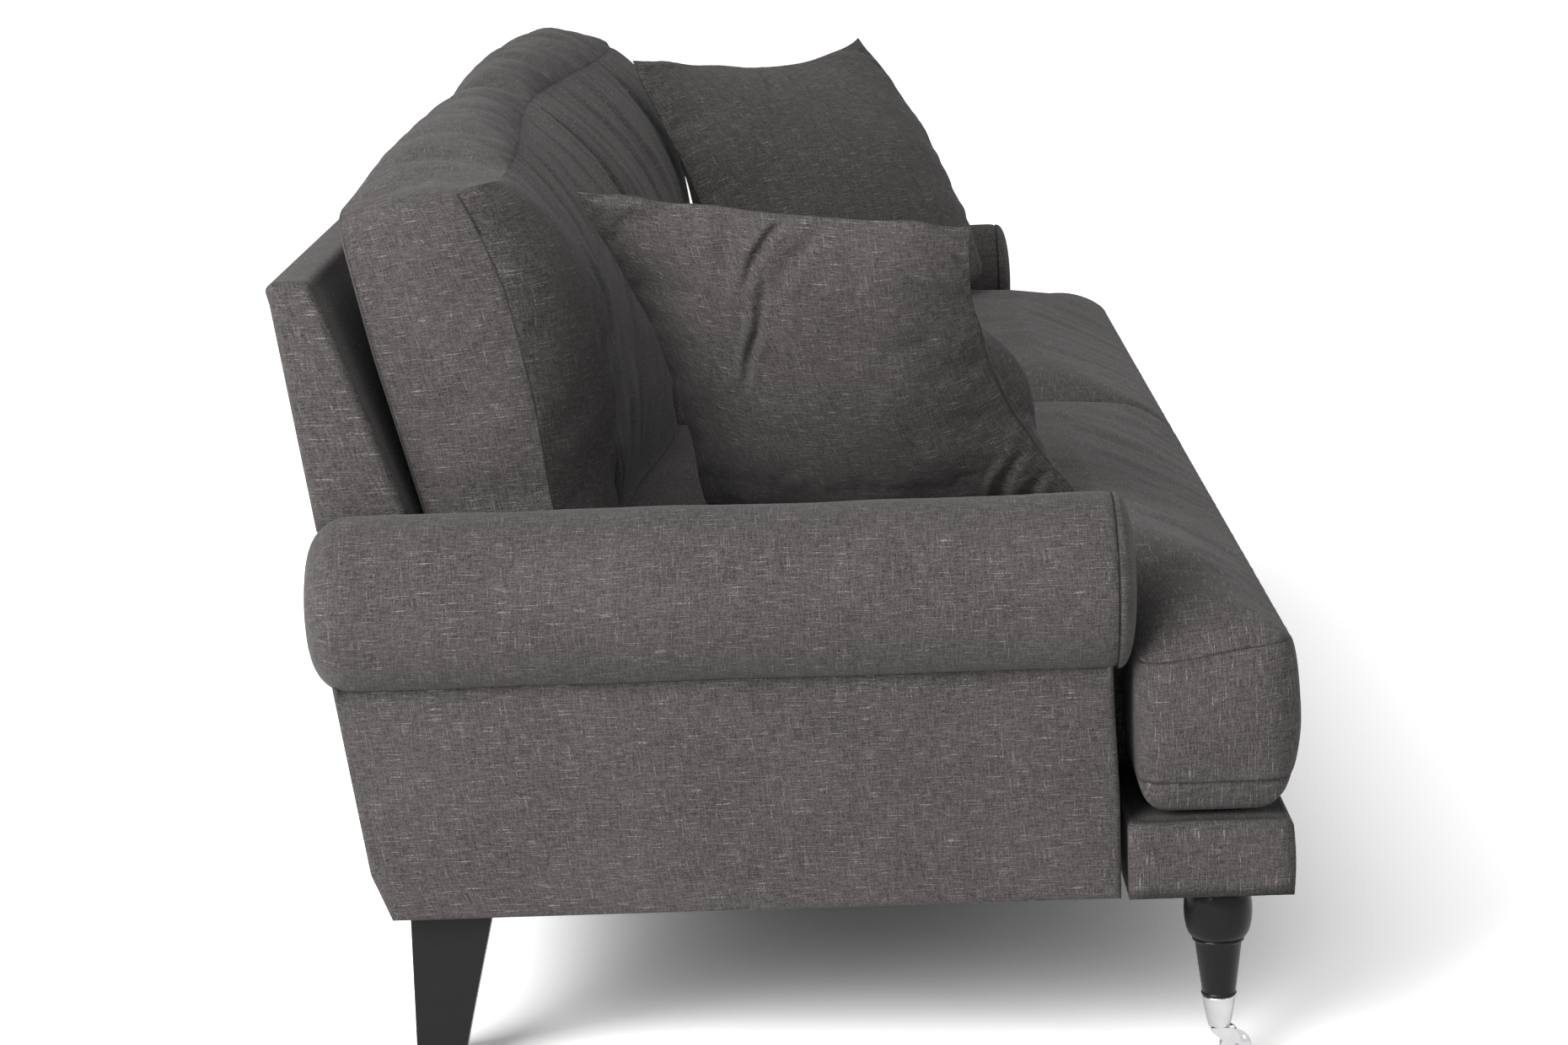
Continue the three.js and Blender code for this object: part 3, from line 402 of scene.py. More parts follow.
def wrapped_form(us, vs, outline, rows, place, map_of):
    """A closed form over a plan grid: an upper sheet, a lower sheet and a border between them.
    place(u, v, row, out_u, out_v) gives points, where row runs from 1 on the upper sheet to 0 on
    the lower one and out is the outward direction of the outline. map_of gives the cloth map of a
    sheet, and the border's map is its width against the length along the outline. Lower sheet and
    border are cut from other stretches of the cloth, so their maps are shifted. A row past UPPER
    or LOWER is on that sheet."""
    nu, nv = len(us), len(vs)
    column, line = np.meshgrid(np.arange(nu - 1) + 0.5, np.arange(nv - 1) + 0.5, indexing="ij")
    corner_u, corner_v = np.array(outline, float).T[..., None, None]
    next_v = np.roll(corner_v, -1, axis=0)
    crossed = ((corner_v > line) != (next_v > line)) & (column < corner_u)
    i, j = np.nonzero(crossed.sum(0) % 2)
    number = np.arange(nu * nv).reshape(nu, nv)
    plan_u, plan_v = np.meshgrid(us, vs, indexing="ij")
    still = np.zeros_like(plan_u)
    upper = place(plan_u, plan_v, still + 1, still, still).reshape(-1, 3)
    lower = place(plan_u, plan_v, still, still, still).reshape(-1, 3)
    quads = np.stack([number[i, j], number[i + 1, j], number[i + 1, j + 1], number[i, j + 1]], 1)
    sheet_map = map_of(plan_u, plan_v).reshape(-1, 2)

    rim = outline_walk(outline)
    rim_u, rim_v = us[rim[:, 0]], vs[rim[:, 1]]
    ahead = np.stack([np.roll(rim_u, -1) - rim_u, np.roll(rim_v, -1) - rim_v], 1)
    ahead /= np.linalg.norm(ahead, axis=1, keepdims=True)
    tangent = ahead + np.roll(ahead, 1, axis=0)
    tangent /= np.maximum(np.linalg.norm(tangent, axis=1, keepdims=True), 1e-9)
    wide = (len(rows) - 2, len(rim))
    ring = place(np.broadcast_to(rim_u, wide), np.broadcast_to(rim_v, wide),
                 np.broadcast_to(rows[1:-1, None], wide),
                 np.broadcast_to(tangent[:, 1], wide), np.broadcast_to(-tangent[:, 0], wide))
    points = np.concatenate([upper, lower, ring.reshape(-1, 3)])
    rings = 2 * nu * nv + np.arange(wide[0] * wide[1]).reshape(wide)
    rim_top = number[rim[:, 0], rim[:, 1]]
    rim_numbers = np.concatenate([[rim_top], rings, [nu * nv + rim_top]])
    beside = np.roll(rim_numbers, -1, axis=1)
    border = np.stack([rim_numbers[:-1], rim_numbers[1:], beside[1:], beside[:-1]], -1)

    around = points[rim_numbers]
    step = np.linalg.norm(np.roll(around, -1, axis=1) - around, axis=2).mean(0)
    drop = np.linalg.norm(np.diff(around, axis=0), axis=2).mean(1)
    grid = np.stack(np.meshgrid(np.concatenate([[0], np.cumsum(drop)]),
                                np.concatenate([[0], np.cumsum(step)]), indexing="ij"), -1)
    border_map = np.stack([grid[:-1, :-1], grid[1:, :-1], grid[1:, 1:], grid[:-1, 1:]], -2)
    faces = np.concatenate([quads, quads[:, ::-1] + nu * nv, border.reshape(-1, 4)])
    maps = np.concatenate([sheet_map[quads], sheet_map[quads[:, ::-1]] + LOWER_SHIFT,
                           border_map.reshape(-1, 4, 2) + BORDER_SHIFT])
    seams = np.zeros(len(points))
    # Both rims are marked as seams, and the mark also paints a thin line of shade into the cloth there.
    seams[rim_numbers[[0, -1]]] = 1.0
    return points, faces, maps, seams


def laid_flat(u, v):
    """The cloth map of a sheet that is laid out by its own sizes."""
    return np.stack([u, v], -1)


def rectangle(us, vs):
    """Outline of a plain rectangular grid."""
    a, b = len(us) - 1, len(vs) - 1
    return [(0, 0), (a, 0), (a, b), (0, b)]


EDGE_STEPS, TURN_STEPS = 9, 4
EDGE_ROWS = np.linspace(1, 0, EDGE_STEPS + 1)


def rounded_edge(row, radius):
    """A slab's edge at a row of its border: the depth below the nearer face and the inset from
    the outline, along a quarter circle from each face to the side."""
    turn = np.pi / 2 * np.clip(1 - np.minimum(row, 1 - row) * EDGE_STEPS / TURN_STEPS, 0, 1)
    return radius * (1 - np.sin(turn)), radius * (1 - np.cos(turn))


def place_panel(u, v, row, out_u, out_v):
    """The arm's side by shares: u from front to rear and v from foot to top, inset at the edges,
    a slight swell of the padding on the outer face, and a tuck below the roll."""
    edge, inset = rounded_edge(row, PANEL_ROUND)
    depth = np.where(row > 0.5, edge, PANEL_X - ARM_INNER_X - edge)
    z = inset + v * (PANEL_TOP - 2 * inset)
    rear = np.interp(z, *PANEL_REAR)
    front = ARM_FRONT + PANEL_SLOPE * ease(*PANEL_SLOPE_AT, z)
    y = front + inset + u * (rear - front - 2 * inset)
    swell = PANEL_SWELL * (np.sin(np.pi * u) * np.sin(np.pi * np.clip(v * 1.15, 0, 1))) ** 0.5
    uneven = PANEL_UNEVEN * ripple(3, PANEL_WAVES, y, z) * np.sin(np.pi * u) * np.sin(np.pi * v)
    tuck = PANEL_TUCK * ease(*PANEL_TUCK_AT, z) ** 2
    x = PANEL_X - depth + np.where(row > UPPER, swell + uneven - tuck, 0)
    return np.stack([x, y, z], -1)


def ring_cells(rings, sides, run, girth):
    """Numbers of the points on rings, the faces between the rings, and the faces' map, which is
    the run from ring to ring against the girth round them."""
    number = np.arange(rings * sides).reshape(rings, sides)
    beside = np.roll(number, -1, axis=1)
    faces = np.stack([number[:-1], beside[:-1], beside[1:], number[1:]], -1)
    grid = np.stack(np.meshgrid(run, girth, indexing="ij"), -1)
    maps = np.stack([grid[:-1, :-1], grid[:-1, 1:], grid[1:, 1:], grid[1:, :-1]], -2)
    return number, faces.reshape(-1, 4), maps.reshape(-1, 4, 2)


def tube_form(lengths, sides, place, seam_rings=()):
    """A closed form round an axis: rings of points at the lengths given, shut at both ends by
    fans. The map is the distance along the axis against the distance round the roll."""
    turns = np.linspace(0, 2 * np.pi, sides, endpoint=False)
    turn_grid, length_grid = np.meshgrid(turns, lengths, indexing="xy")
    rings = place(turn_grid, length_grid)
    run = np.cumsum(np.linalg.norm(np.diff(rings[:, 0], axis=0, prepend=rings[:1, 0]), axis=1))
    girth = np.arange(sides + 1) * 2 * np.pi * ROLL_R / sides
    number, faces, maps = ring_cells(len(lengths), sides, run, girth)
    beside = np.roll(number, -1, axis=1)
    first, last = np.full(sides, number.size), np.full(sides, number.size + 1)
    fans = np.concatenate([np.stack([first, beside[0], number[0], number[0]], -1),
                           np.stack([last, number[-1], beside[-1], beside[-1]], -1)])
    points = np.concatenate([rings.reshape(-1, 3), [rings[0].mean(0), rings[-1].mean(0)]])
    maps = np.concatenate([maps, points[fans][..., [0, 2]]])
    seams = np.zeros(len(points))
    # The marked rings are seams, and the mark also paints a line of shade into the cloth there.
    seams[number[list(seam_rings)].ravel()] = 1.0
    return points, np.concatenate([faces, fans]), maps, seams


def place_roll(turns, lengths):
    """A round bolster: the radius is full between its ends, falls off as a square-rooted cosine
    over the rear dome, dips into the front seam, and is uneven by about a millimetre."""
    dome = np.clip((lengths - ROLL_REAR) / ROLL_DOME, 0, 1)
    radius = ROLL_R * np.maximum(1 - dome ** 2, 0) ** 0.25
    radius = radius - ROLL_SEAM_DIP * np.exp(-(lengths - ARM_FRONT) / ROLL_DIP_RUN)
    uneven = ROLL_UNEVEN * ripple(5, ROLL_WAVES, lengths, turns * ROLL_R)
    radius = radius + uneven * np.minimum(1, radius / ROLL_R)
    return np.stack([ROLL_X + radius * np.cos(turns), lengths, ROLL_Z + radius * np.sin(turns)], -1)


def place_facing(turns, lengths):
    """The facing pad: a shallow dome whose radius grows as a sine from its middle to its seam, by
    shares of a quarter turn, with a last ring tucked under beside the roll's cloth."""
    angle = np.clip(lengths, 0, 1) * np.pi / 2
    tucked = np.clip(lengths - 1, 0, 1)
    radius = ROLL_R * np.sin(angle) ** 0.9 - FACING_TUCK * tucked
    y = ARM_FRONT - FACING_GAP - FACING_PROUD * np.cos(angle) ** 0.8 + FACING_SINK * tucked
    return np.stack([ROLL_X + radius * np.cos(turns), y, ROLL_Z + radius * np.sin(turns)], -1)


for side, label in SIDES:
    us = np.linspace(0, 1, 80)
    vs = np.concatenate([np.linspace(0, 0.70, 26), np.linspace(0.72, 0.88, 14),
                         np.linspace(0.91, 1, 4)])
    points, faces, maps, seams = wrapped_form(us, vs, rectangle(us, vs), EDGE_ROWS, place_panel,
                                              lambda u, v: np.stack([u * PANEL_LONG, v * PANEL_TOP], -1))
    make_piece(f"arm_side_{label}", (points, faces, maps, seams * 0), "sofa_body",
               [f"arm_body_{label}"], side)
    lengths = np.concatenate([
        ARM_FRONT + np.array([0, 0.0015, 0.003, 0.006, 0.012]),
        np.linspace(ARM_FRONT + 0.03, ROLL_REAR, 48),
        ROLL_REAR + ROLL_DOME * np.sin(np.linspace(0, np.pi / 2, 14))[1:-1]])
    make_piece(f"arm_bolster_{label}", tube_form(lengths, ROUND_SIDES, place_roll, (0,)), "sofa_body",
               [f"arm_roll_{label}"], side)
    shares = np.concatenate([np.linspace(0.04, 0.97, 22), [0.99, 1, 2]])
    make_piece(f"arm_disc_{label}", tube_form(shares, ROUND_SIDES, place_facing, (-2, -1)),
               "sofa_body", [f"arm_facing_{label}"], side)

# The back: a padded wedge of boards and webbing between the arms, wider above them where it
# rests on the rolls. Its cloth is drawn smooth over softly rounded edges.
BACK_HALF, BACK_NECK, BACK_EAR, BACK_TOP = 0.985, 0.9655, 0.352, 0.590
BACK_FACE, BACK_SLOPE, BACK_FACE_LOW, BACK_ROUND, BACK_SWELL = 0.355, 0.35, 0.3625, 0.0096, 0.005
BACK_REAR = ([0, 0.038, 0.225, BACK_EAR, BACK_TOP], [0.383, 0.399, 0.430, 0.448, 0.482])


def place_back(u, v, row, out_u, out_v):
    """The wedge: width along u, height along v, and thickness from the front face to the rear
    face, both of which lean. Each edge is rounded by an inset that grows towards its face."""
    edge, inset = rounded_edge(row, BACK_ROUND)
    front = BACK_FACE + BACK_SLOPE * (v - BACK_EAR)
    front = front + (BACK_FACE_LOW - front) * ease(0.085, 0.055, v)
    rear = np.interp(v, *BACK_REAR)
    swell = BACK_SWELL * (np.cos(np.clip(u / BACK_HALF, -1, 1) * np.pi / 2)
                          * np.sin(np.pi * np.clip(v / BACK_TOP, 0, 1))).clip(0) ** 0.5
    y = np.where(row > 0.5, front + edge, rear - edge + np.where(row < LOWER, swell, 0))
    shift_u = np.sign(u) * inset * (np.abs(u) > BACK_NECK - 0.001)
    z = np.where(v > BACK_TOP - 1e-6, v - inset, v)
    return np.stack([u - shift_u, y, z], -1)


us = np.concatenate([[-BACK_HALF], np.linspace(-BACK_NECK, BACK_NECK, 70), [BACK_HALF]])
vs_below = np.linspace(0, BACK_EAR, 16)
vs = np.concatenate([vs_below, np.linspace(BACK_EAR, BACK_TOP, 12)[1:]])
a, b, c = len(us) - 1, len(vs) - 1, len(vs_below) - 1
back_outline = [(1, 0), (a - 1, 0), (a - 1, c), (a, c), (a, b), (0, b), (0, c), (1, c)]
points, faces, maps, seams = wrapped_form(us, vs, back_outline, EDGE_ROWS, place_back, laid_flat)
make_piece("back_rest", (points, faces, maps, seams * 0), "sofa_body", ["back_frame"])

# Front border: a padded box round the front rails, open underneath, where the lining shows. Its
# cloth turns under the lower edge and is sewn along the upper ones.
BORDER_X, BORDER_FRONT, BORDER_REAR, BORDER_TOP = 1.089, -0.4585, -0.305, 0.072
BORDER_ROUND, BORDER_WALL, BORDER_SWELL, BORDER_CROWN = 0.0055, 0.0085, 0.0022, 0.0015
BORDER_OPEN, BORDER_MAP_HALF = 0.058, 0.077
TURNED = 0.6


def place_border(u, v, row, out_u, out_v):
    """A shallow lid with rounded upper edges: rows from 1 to TURNED go over the edge as a quarter
    circle, and rows below run down to the lower edge with a slight swell between."""
    turn = np.clip((1 - row) / (1 - TURNED), 0, 1) * np.pi / 2
    below = np.clip((TURNED - row) / TURNED, 0, 1)
    inset = BORDER_ROUND * (1 - np.sin(turn))
    z = BORDER_TOP - BORDER_ROUND * (1 - np.cos(turn)) - (BORDER_TOP - BORDER_ROUND) * below
    swell = BORDER_SWELL * np.sin(np.pi * below)
    x = u * (BORDER_X - inset) + out_u * swell
    middle, half = (BORDER_FRONT + BORDER_REAR) / 2, (BORDER_REAR - BORDER_FRONT) / 2
    y = middle + v * (half - inset) + np.minimum(out_v, 0) * swell
    z = z + np.where(row > UPPER, BORDER_CROWN * np.cos(np.clip(v, -1, 1) * np.pi / 2), 0)
    return np.stack([x, y, z], -1)


us, vs = np.linspace(-1, 1, 130), np.linspace(-1, 1, 11)
rows = np.concatenate([np.linspace(1, TURNED, 6), np.linspace(TURNED, 0, 7)[1:]])
points, faces, maps, seams = wrapped_form(
    us, vs, rectangle(us, vs), rows, place_border,
    lambda u, v: np.stack([u * BORDER_X, v * BORDER_MAP_HALF], -1))
middles = points[faces].mean(1)
level = np.ptp(points[faces][..., 2], axis=1) < 1e-6
behind = (middles[:, 1] > BORDER_REAR - 0.002) & (np.abs(middles[:, 0]) < ARM_INNER_X)
keep = ~(level & (middles[:, 2] < 0.001)) & ~(behind & (middles[:, 2] < BORDER_OPEN))
# Its seam mark also darkens a band along the lower edge with painted shade, where the cloth turns under.
border = make_piece("border_pad", (points, faces[keep], maps[keep], seams), "sofa_body",
                    ["front_border"])
wall = border.modifiers.new("wall", "SOLIDIFY")
wall.thickness = BORDER_WALL
wall.offset = -1.0

# Seat cushions: boxed, filled with foam in a feather wrap, each with an ear that reaches round
# the front of its arm. Both seams are sewn edge to edge, and the filling crowns the top. They lie
# loose on the deck.
COVER_PRESSURE, COVER_REACH, COVER_FRAMES, COVER_MASS = 4.0, 0.024, 20, 0.3
COVER_STRETCH, COVER_SHEAR, CLOTH_STEP = 15, 5, 0.013


def fill_cover(made, held, slack, fineness):
    """Lets the cover of a padded piece take up its filling. A cloth run under inner pressure, with
    the places marked held kept still and the cloth a share too long, buckles it near its seams.
    No point goes further than COVER_REACH, and the result becomes the mesh, subdivided once."""
    mesh = made.data
    count = len(mesh.vertices)
    before = np.empty(count * 3, np.float32)
    mesh.vertices.foreach_get("co", before)
    before = before.reshape(-1, 3)
    still = np.round(np.clip(held(body_sizes(before)), 0, 1) * 4) / 4
    # The seam mark, which also sets the cloth's painted seam shade, holds the sewn points still.
    seam_and_painted_shade = np.empty(count, np.float32)
    mesh.attributes["seam"].data.foreach_get("value", seam_and_painted_shade)
    still[seam_and_painted_shade > 0.5] = 1
    group = made.vertex_groups.new(name="still")
    for share in np.unique(still[still > 0]):
        group.add(np.nonzero(still == share)[0].tolist(), float(share), "REPLACE")
    cover = made.modifiers.new("cover", "CLOTH")
    sheet = cover.settings
    sheet.quality = 4
    sheet.mass = COVER_MASS
    sheet.tension_stiffness = sheet.compression_stiffness = COVER_STRETCH
    sheet.shear_stiffness = COVER_SHEAR
    sheet.bending_stiffness = fineness
    sheet.use_pressure = True
    sheet.uniform_pressure_force = COVER_PRESSURE
    sheet.shrink_min = sheet.shrink_max = -slack
    sheet.effector_weights.gravity = 0
    sheet.vertex_group_mass = "still"
    cover.collision_settings.use_collision = False
    cover.point_cache.frame_start, cover.point_cache.frame_end = 1, COVER_FRAMES
    for frame_number in range(1, COVER_FRAMES + 1):
        scene.frame_set(frame_number)
    settled = made.evaluated_get(bpy.context.evaluated_depsgraph_get()).data
    after = np.empty(count * 3, np.float32)
    settled.vertices.foreach_get("co", after)
    moved = after.reshape(-1, 3) - before
    length = np.maximum(np.linalg.norm(moved, axis=1, keepdims=True), 1e-9)
    moved *= np.minimum(1, COVER_REACH / length)
    made.modifiers.remove(cover)
    made.vertex_groups.remove(group)
    scene.frame_set(1)
    mesh.vertices.foreach_set("co", (before + moved).astype(np.float32).ravel())
    mesh.update()
    finer = made.modifiers.new("finer", "SUBSURF")
    finer.levels = finer.render_levels = 1


SEAT_INNER, SEAT_ARM, SEAT_EAR = 0.002, 0.957, 1.098
SEAT_FRONT, SEAT_NOTCH, SEAT_REAR = -0.459, -0.315, 0.262
SEAT_LOW, SEAT_HIGH, SEAT_FRONT_SEAM, SEAT_CROWN, SEAT_FLAT = 0.114, 0.226, 0.243, 0.061, 0.280
SEAT_DROOP, SEAT_BELLY, EAR_BELLY, SEAT_BULGE, SEAT_LEAN = 0.014, 0.0278, 0.008, 0.0088, 0.038
SEAT_CROWN_RUN, SEAT_BELLY_RUN, EAR_CORNER, INNER_CORNER = 0.070, 0.028, 0.028, 0.020
REAR_RISE, INNER_RISE, NOTCH_RISE, NOTCH_BULGE_SHARE = 1.5, 2.2, 1.6, 0.35
SEAT_PRESSED_AT, SEAT_STILL_AT, SEAT_SEED = (0.035, 0.100), (0.02, 0.10), 31
SEAM_ROWS = np.array([1, 0.992, 0.97, 0.92, 0.82, 0.69, 0.56, 0.44, 0.31, 0.18, 0.08, 0.03, 0.008, 0])


def stuffed(distance, reach):
    """How full a face is at a distance from its seams: a sine to the three-quarter power."""
    return np.sin(np.pi / 2 * np.clip(distance / reach, 0, 1)) ** 0.75


def round_corner(u, v, corner, size):
    """Moves plan points near a corner, given as its place and outward signs, onto a disc so that
    the corner becomes a quarter circle."""
    corner_u, side_u, corner_v, side_v = corner
    a = np.clip(1 - side_u * (corner_u - u) / size, 0, 1)
    b = np.clip(1 - side_v * (corner_v - v) / size, 0, 1)
    pull_u = a * (1 - np.sqrt(1 - b * b / 2)) * size
    pull_v = b * (1 - np.sqrt(1 - a * a / 2)) * size
    return u - side_u * pull_u, v - side_v * pull_v


def close_lines(start, stop):
    """Grid lines between two seams, close together beside each seam and evenly spaced between."""
    near = np.array([0.0008, 0.003, 0.008])
    count = max(2, int(round((stop - start - 2 * near[-1]) / CLOTH_STEP)))
    middle = np.linspace(start + near[-1], stop - near[-1], count + 1)
    return np.concatenate([[start], start + near[:-1], middle, stop - near[:-1][::-1], [stop]])


def gathers(seam, u, v, seed, depth, run, waves):
    """Puckers beside a seam: an uneven field that dies away over a run, and is nil on the seam."""
    return depth * np.exp(-seam / run) * ripple(seed, waves, u, v) * ease(0, 0.003, seam)


def dents(seam, u, v, seed, depth, reach, waves):
    """The unevenness of a filled face, full from a reach off its seams."""
    return depth * ripple(seed, waves, u, v) * ease(0.02, reach, seam)


def seat_place(seed):
    """The seat cushion's points from its plan: upper sheet crowned, lower sheet hanging a little,
    border bulging between its two seams, with puckers beside every seam."""
    def place(u, v, row, out_u, out_v):
        to_notch = np.hypot(np.maximum(SEAT_ARM - u, 0), np.maximum(SEAT_NOTCH - v, 0))
        seam = np.minimum.reduce([v - SEAT_FRONT, REAR_RISE * (SEAT_REAR - v),
                                  INNER_RISE * (u - SEAT_INNER), SEAT_EAR - u,
                                  NOTCH_RISE * to_notch])
        seam = np.maximum(seam, 0)
        high_seam = SEAT_FRONT_SEAM + (SEAT_HIGH - SEAT_FRONT_SEAM) * ease(SEAT_FRONT, SEAT_NOTCH, v)
        droop = SEAT_DROOP * ease(SEAT_ARM - 0.100, SEAT_EAR, u)
        crown = SEAT_HIGH + SEAT_CROWN - droop - high_seam
        top = high_seam + crown * stuffed(seam, SEAT_CROWN_RUN)
        top = top + gathers(seam, u, v, seed, depth=0.0016, run=0.02, waves=(0.03, 0.05))
        top = top + dents(seam, u, v, seed + 1, depth=0.0022, reach=0.10, waves=(0.10, 0.24))
        pressed = np.minimum(top, SEAT_FLAT - 0.001)
        top = top + (pressed - top) * ease(*SEAT_PRESSED_AT, v)
        on_ear = ease(0.100, SEAT_NOTCH, v) * ease(SEAT_ARM, SEAT_ARM + SEAT_BELLY_RUN, u)
        bottom = SEAT_LOW - (SEAT_BELLY + EAR_BELLY * on_ear) * stuffed(seam, SEAT_BELLY_RUN)
        tall = SEAT_LOW + (high_seam - SEAT_LOW) * row
        bulge = SEAT_BULGE * np.sin(np.pi * row) ** 0.6
        bulge = np.where((u > SEAT_ARM + 0.001) & (out_v > 0.1), NOTCH_BULGE_SHARE * bulge, bulge)
        bulge = bulge + 0.0012 * ripple(seed + 2, (0.05, 0.11), u + v, tall) * np.sin(np.pi * row)
        z = np.where(row > UPPER, top, np.where(row < LOWER, bottom, tall))
        lean = SEAT_LEAN * row * ease(0, SEAT_REAR, v)
        for *corner, size in ((SEAT_EAR, 1, SEAT_FRONT, -1, EAR_CORNER),
                              (SEAT_EAR, 1, SEAT_NOTCH, 1, EAR_CORNER),
                              (SEAT_INNER, -1, SEAT_FRONT, -1, INNER_CORNER)):
            u, v = round_corner(u, v, corner, size)
        return np.stack([u + bulge * np.maximum(out_u, 0), v + lean + bulge * out_v, z], -1)
    return place


def seat_held(sizes):
    """Where a seat cushion can't move: on the deck, against its neighbours and under the back."""
    x, y, z = sizes
    below = z < SEAT_LOW + 0.004
    beside = (x < SEAT_INNER + 0.03) | ((x > SEAT_ARM - 0.02) & (y > SEAT_NOTCH - 0.01))
    return np.maximum(below | beside, ease(*SEAT_STILL_AT, y)).astype(float)


us_main, us_ear = close_lines(SEAT_INNER, SEAT_ARM), close_lines(SEAT_ARM, SEAT_EAR)
vs_ear, vs_main = close_lines(SEAT_FRONT, SEAT_NOTCH), close_lines(SEAT_NOTCH, SEAT_REAR)
us, vs = np.concatenate([us_main, us_ear[1:]]), np.concatenate([vs_ear, vs_main[1:]])
a, b, c, d = len(us) - 1, len(vs) - 1, len(us_main) - 1, len(vs_ear) - 1
seat_outline = [(0, 0), (a, 0), (a, d), (c, d), (c, b), (0, b)]
for side, label in SIDES:
    form = wrapped_form(us, vs, seat_outline, SEAM_ROWS, seat_place(SEAT_SEED + side), laid_flat)
    made = make_piece(f"seat_pad_{label}", form, f"seat_{label}", [f"seat_cushion_{label}"], side)
    fill_cover(made, seat_held, slack=0.005, fineness=0.6)

# Back cushions: boxed feather cushions that stand loose on the seat and lean on the back, fuller
# low down. The front top seam is drawn forward by the filling, and the top is domed.
BACK_INNER, BACK_END, BACK_FOOT, BACK_HIGH, BACK_REAR_HIGH = 0.002, 0.950, 0.2803, 0.390, 0.3697
BACK_FULL, BACK_SWELL_RUN, REAR_SWELL, TOP_SWELL, BACK_CORNER = 0.068, 0.170, 0.018, 0.008, 0.024
BACK_FULL_AT, PRESS_END, PRESS_SIDE, PRESS_TOP = (0.70, 0.20), (0.865, 0.74), (0.05, 0.45), (0.36, 0.20)
BOW_RUN, CREST_RUN, BACK_SEED = 0.080, 0.250, 51
FRONT_SEAM_Z = np.array([0.280, 0.368, 0.465, 0.570, 0.635, 0.670])
FRONT_SEAM_Y = np.array([0.208, 0.226, 0.238, 0.260, 0.286, 0.302])
REAR_SEAM_Z = np.array([0.280, 0.355, 0.511, 0.623, 0.650])
REAR_SEAM_Y = np.array([0.325, 0.345, 0.386, 0.410, 0.413])


def creases(x, y, lines):
    """Folds in a sheet: each is a valley along a broken line, as a bell curve of the distance
    from it with a raised lip on both sides, and fades out towards its two ends."""
    total = np.zeros_like(x, dtype=float)
    for width, depth, *path in lines:
        path = np.array(path, float)
        lengths = np.linalg.norm(np.diff(path, axis=0), axis=1)
        starts = np.concatenate([[0], np.cumsum(lengths)])
        nearest, share = np.full(x.shape, np.inf), np.zeros(x.shape)
        for start, stop, length, run in zip(path[:-1], path[1:], lengths, starts):
            way = (stop - start) / length
            t = np.clip((x - start[0]) * way[0] + (y - start[1]) * way[1], 0, length)
            away = np.hypot(x - start[0] - way[0] * t, y - start[1] - way[1] * t)
            share = np.where(away < nearest, (run + t) / starts[-1], share)
            nearest = np.minimum(nearest, away)
        fade = np.sin(np.pi * np.clip(share, 0, 1)) ** 0.6
        lip = np.exp(-((nearest - 1.9 * width) / width) ** 2)
        total += depth * fade * (0.45 * lip - np.exp(-(nearest / width) ** 2))
    return total


def back_place(seed, crown, seam_bow, top_lift, end_droop, press, folds):
    """The back cushion's points from its width and height: a front sheet that swells by the
    crown, a rear sheet that lies on the back, and a border between them with a domed top. The
    press is how far a scatter cushion pushes the lower front in, behind a full end."""
    def place(u, v, row, out_u, out_v):
        share = v / BACK_HIGH
        across = np.sin(np.pi * np.clip((u - BACK_INNER) / (BACK_END - BACK_INNER), 0, 1))
        seam = np.minimum.reduce([6 * (u - BACK_INNER), BACK_END - u, BACK_HIGH - v]).clip(0)
        bow = seam_bow * stuffed(BACK_END - u, BOW_RUN) * ease(0, 0.800, u) * share * ease(0, 1, share)
        front_z, rear_z = BACK_FOOT + v, BACK_FOOT + share * BACK_REAR_HIGH
        worn = gathers(seam, u, v, seed, depth=0.0018, run=0.022, waves=(0.035, 0.06))
        worn = worn + dents(seam, u, v * 1.3, seed + 1, depth=0.003, reach=0.12, waves=(0.12, 0.26))
        worn = (worn + creases(u, v, folds)) * ease(0, 0.02, v) * (row > UPPER)
        worn = worn - press * ease(*PRESS_END, u) * ease(*PRESS_SIDE, u) * ease(*PRESS_TOP, v)
        full = crown + (BACK_FULL - crown) * ease(*BACK_FULL_AT, u)
        front_y = np.interp(front_z, FRONT_SEAM_Z, FRONT_SEAM_Y)
        front_y = front_y - full * stuffed(seam, BACK_SWELL_RUN) - bow - worn
        rear_swell = REAR_SWELL * stuffed(np.minimum(seam, v), BACK_SWELL_RUN)
        rear_y = np.interp(rear_z, REAR_SEAM_Z, REAR_SEAM_Y) + np.where(row < LOWER, rear_swell, 0)
        crest = np.minimum(2.5 * (u - BACK_INNER), BACK_END - end_droop - u)
        crest = top_lift * stuffed(crest, CREST_RUN)
        bulge = np.sin(np.pi * row) ** 0.6
        lumps = 0.003 * ripple(seed + 3, (0.11, 0.24), u, row * 0.1) * ease(0, 0.1, row) * (row < UPPER)
        lift = crest * bulge + TOP_SWELL * across * (1 - row) + lumps
        z = rear_z + (front_z - rear_z) * row + lift * ease(0.6, 1, share)
        z = z + 0.002 * ripple(seed + 2, (0.06, 0.14), u, row * 0.15) * bulge * (out_v > 0.5)
        y = rear_y + (front_y - rear_y) * row
        corner_u, corner_v = round_corner(u, v, (BACK_END, 1, BACK_HIGH, 1), BACK_CORNER)
        x = corner_u + TOP_SWELL * bulge * np.maximum(out_u, 0)
        return np.stack([x, y, z + corner_v - v], -1)
    return place


def back_held(sizes):
    """Where a back cushion can't move: on the seat, on the back and against its neighbour."""
    x, y, z = sizes
    behind = y > np.interp(z, REAR_SEAM_Z, REAR_SEAM_Y) - 0.006
    return ((z < BACK_FOOT + 0.012) | (x < BACK_INNER + 0.03) | behind).astype(float)


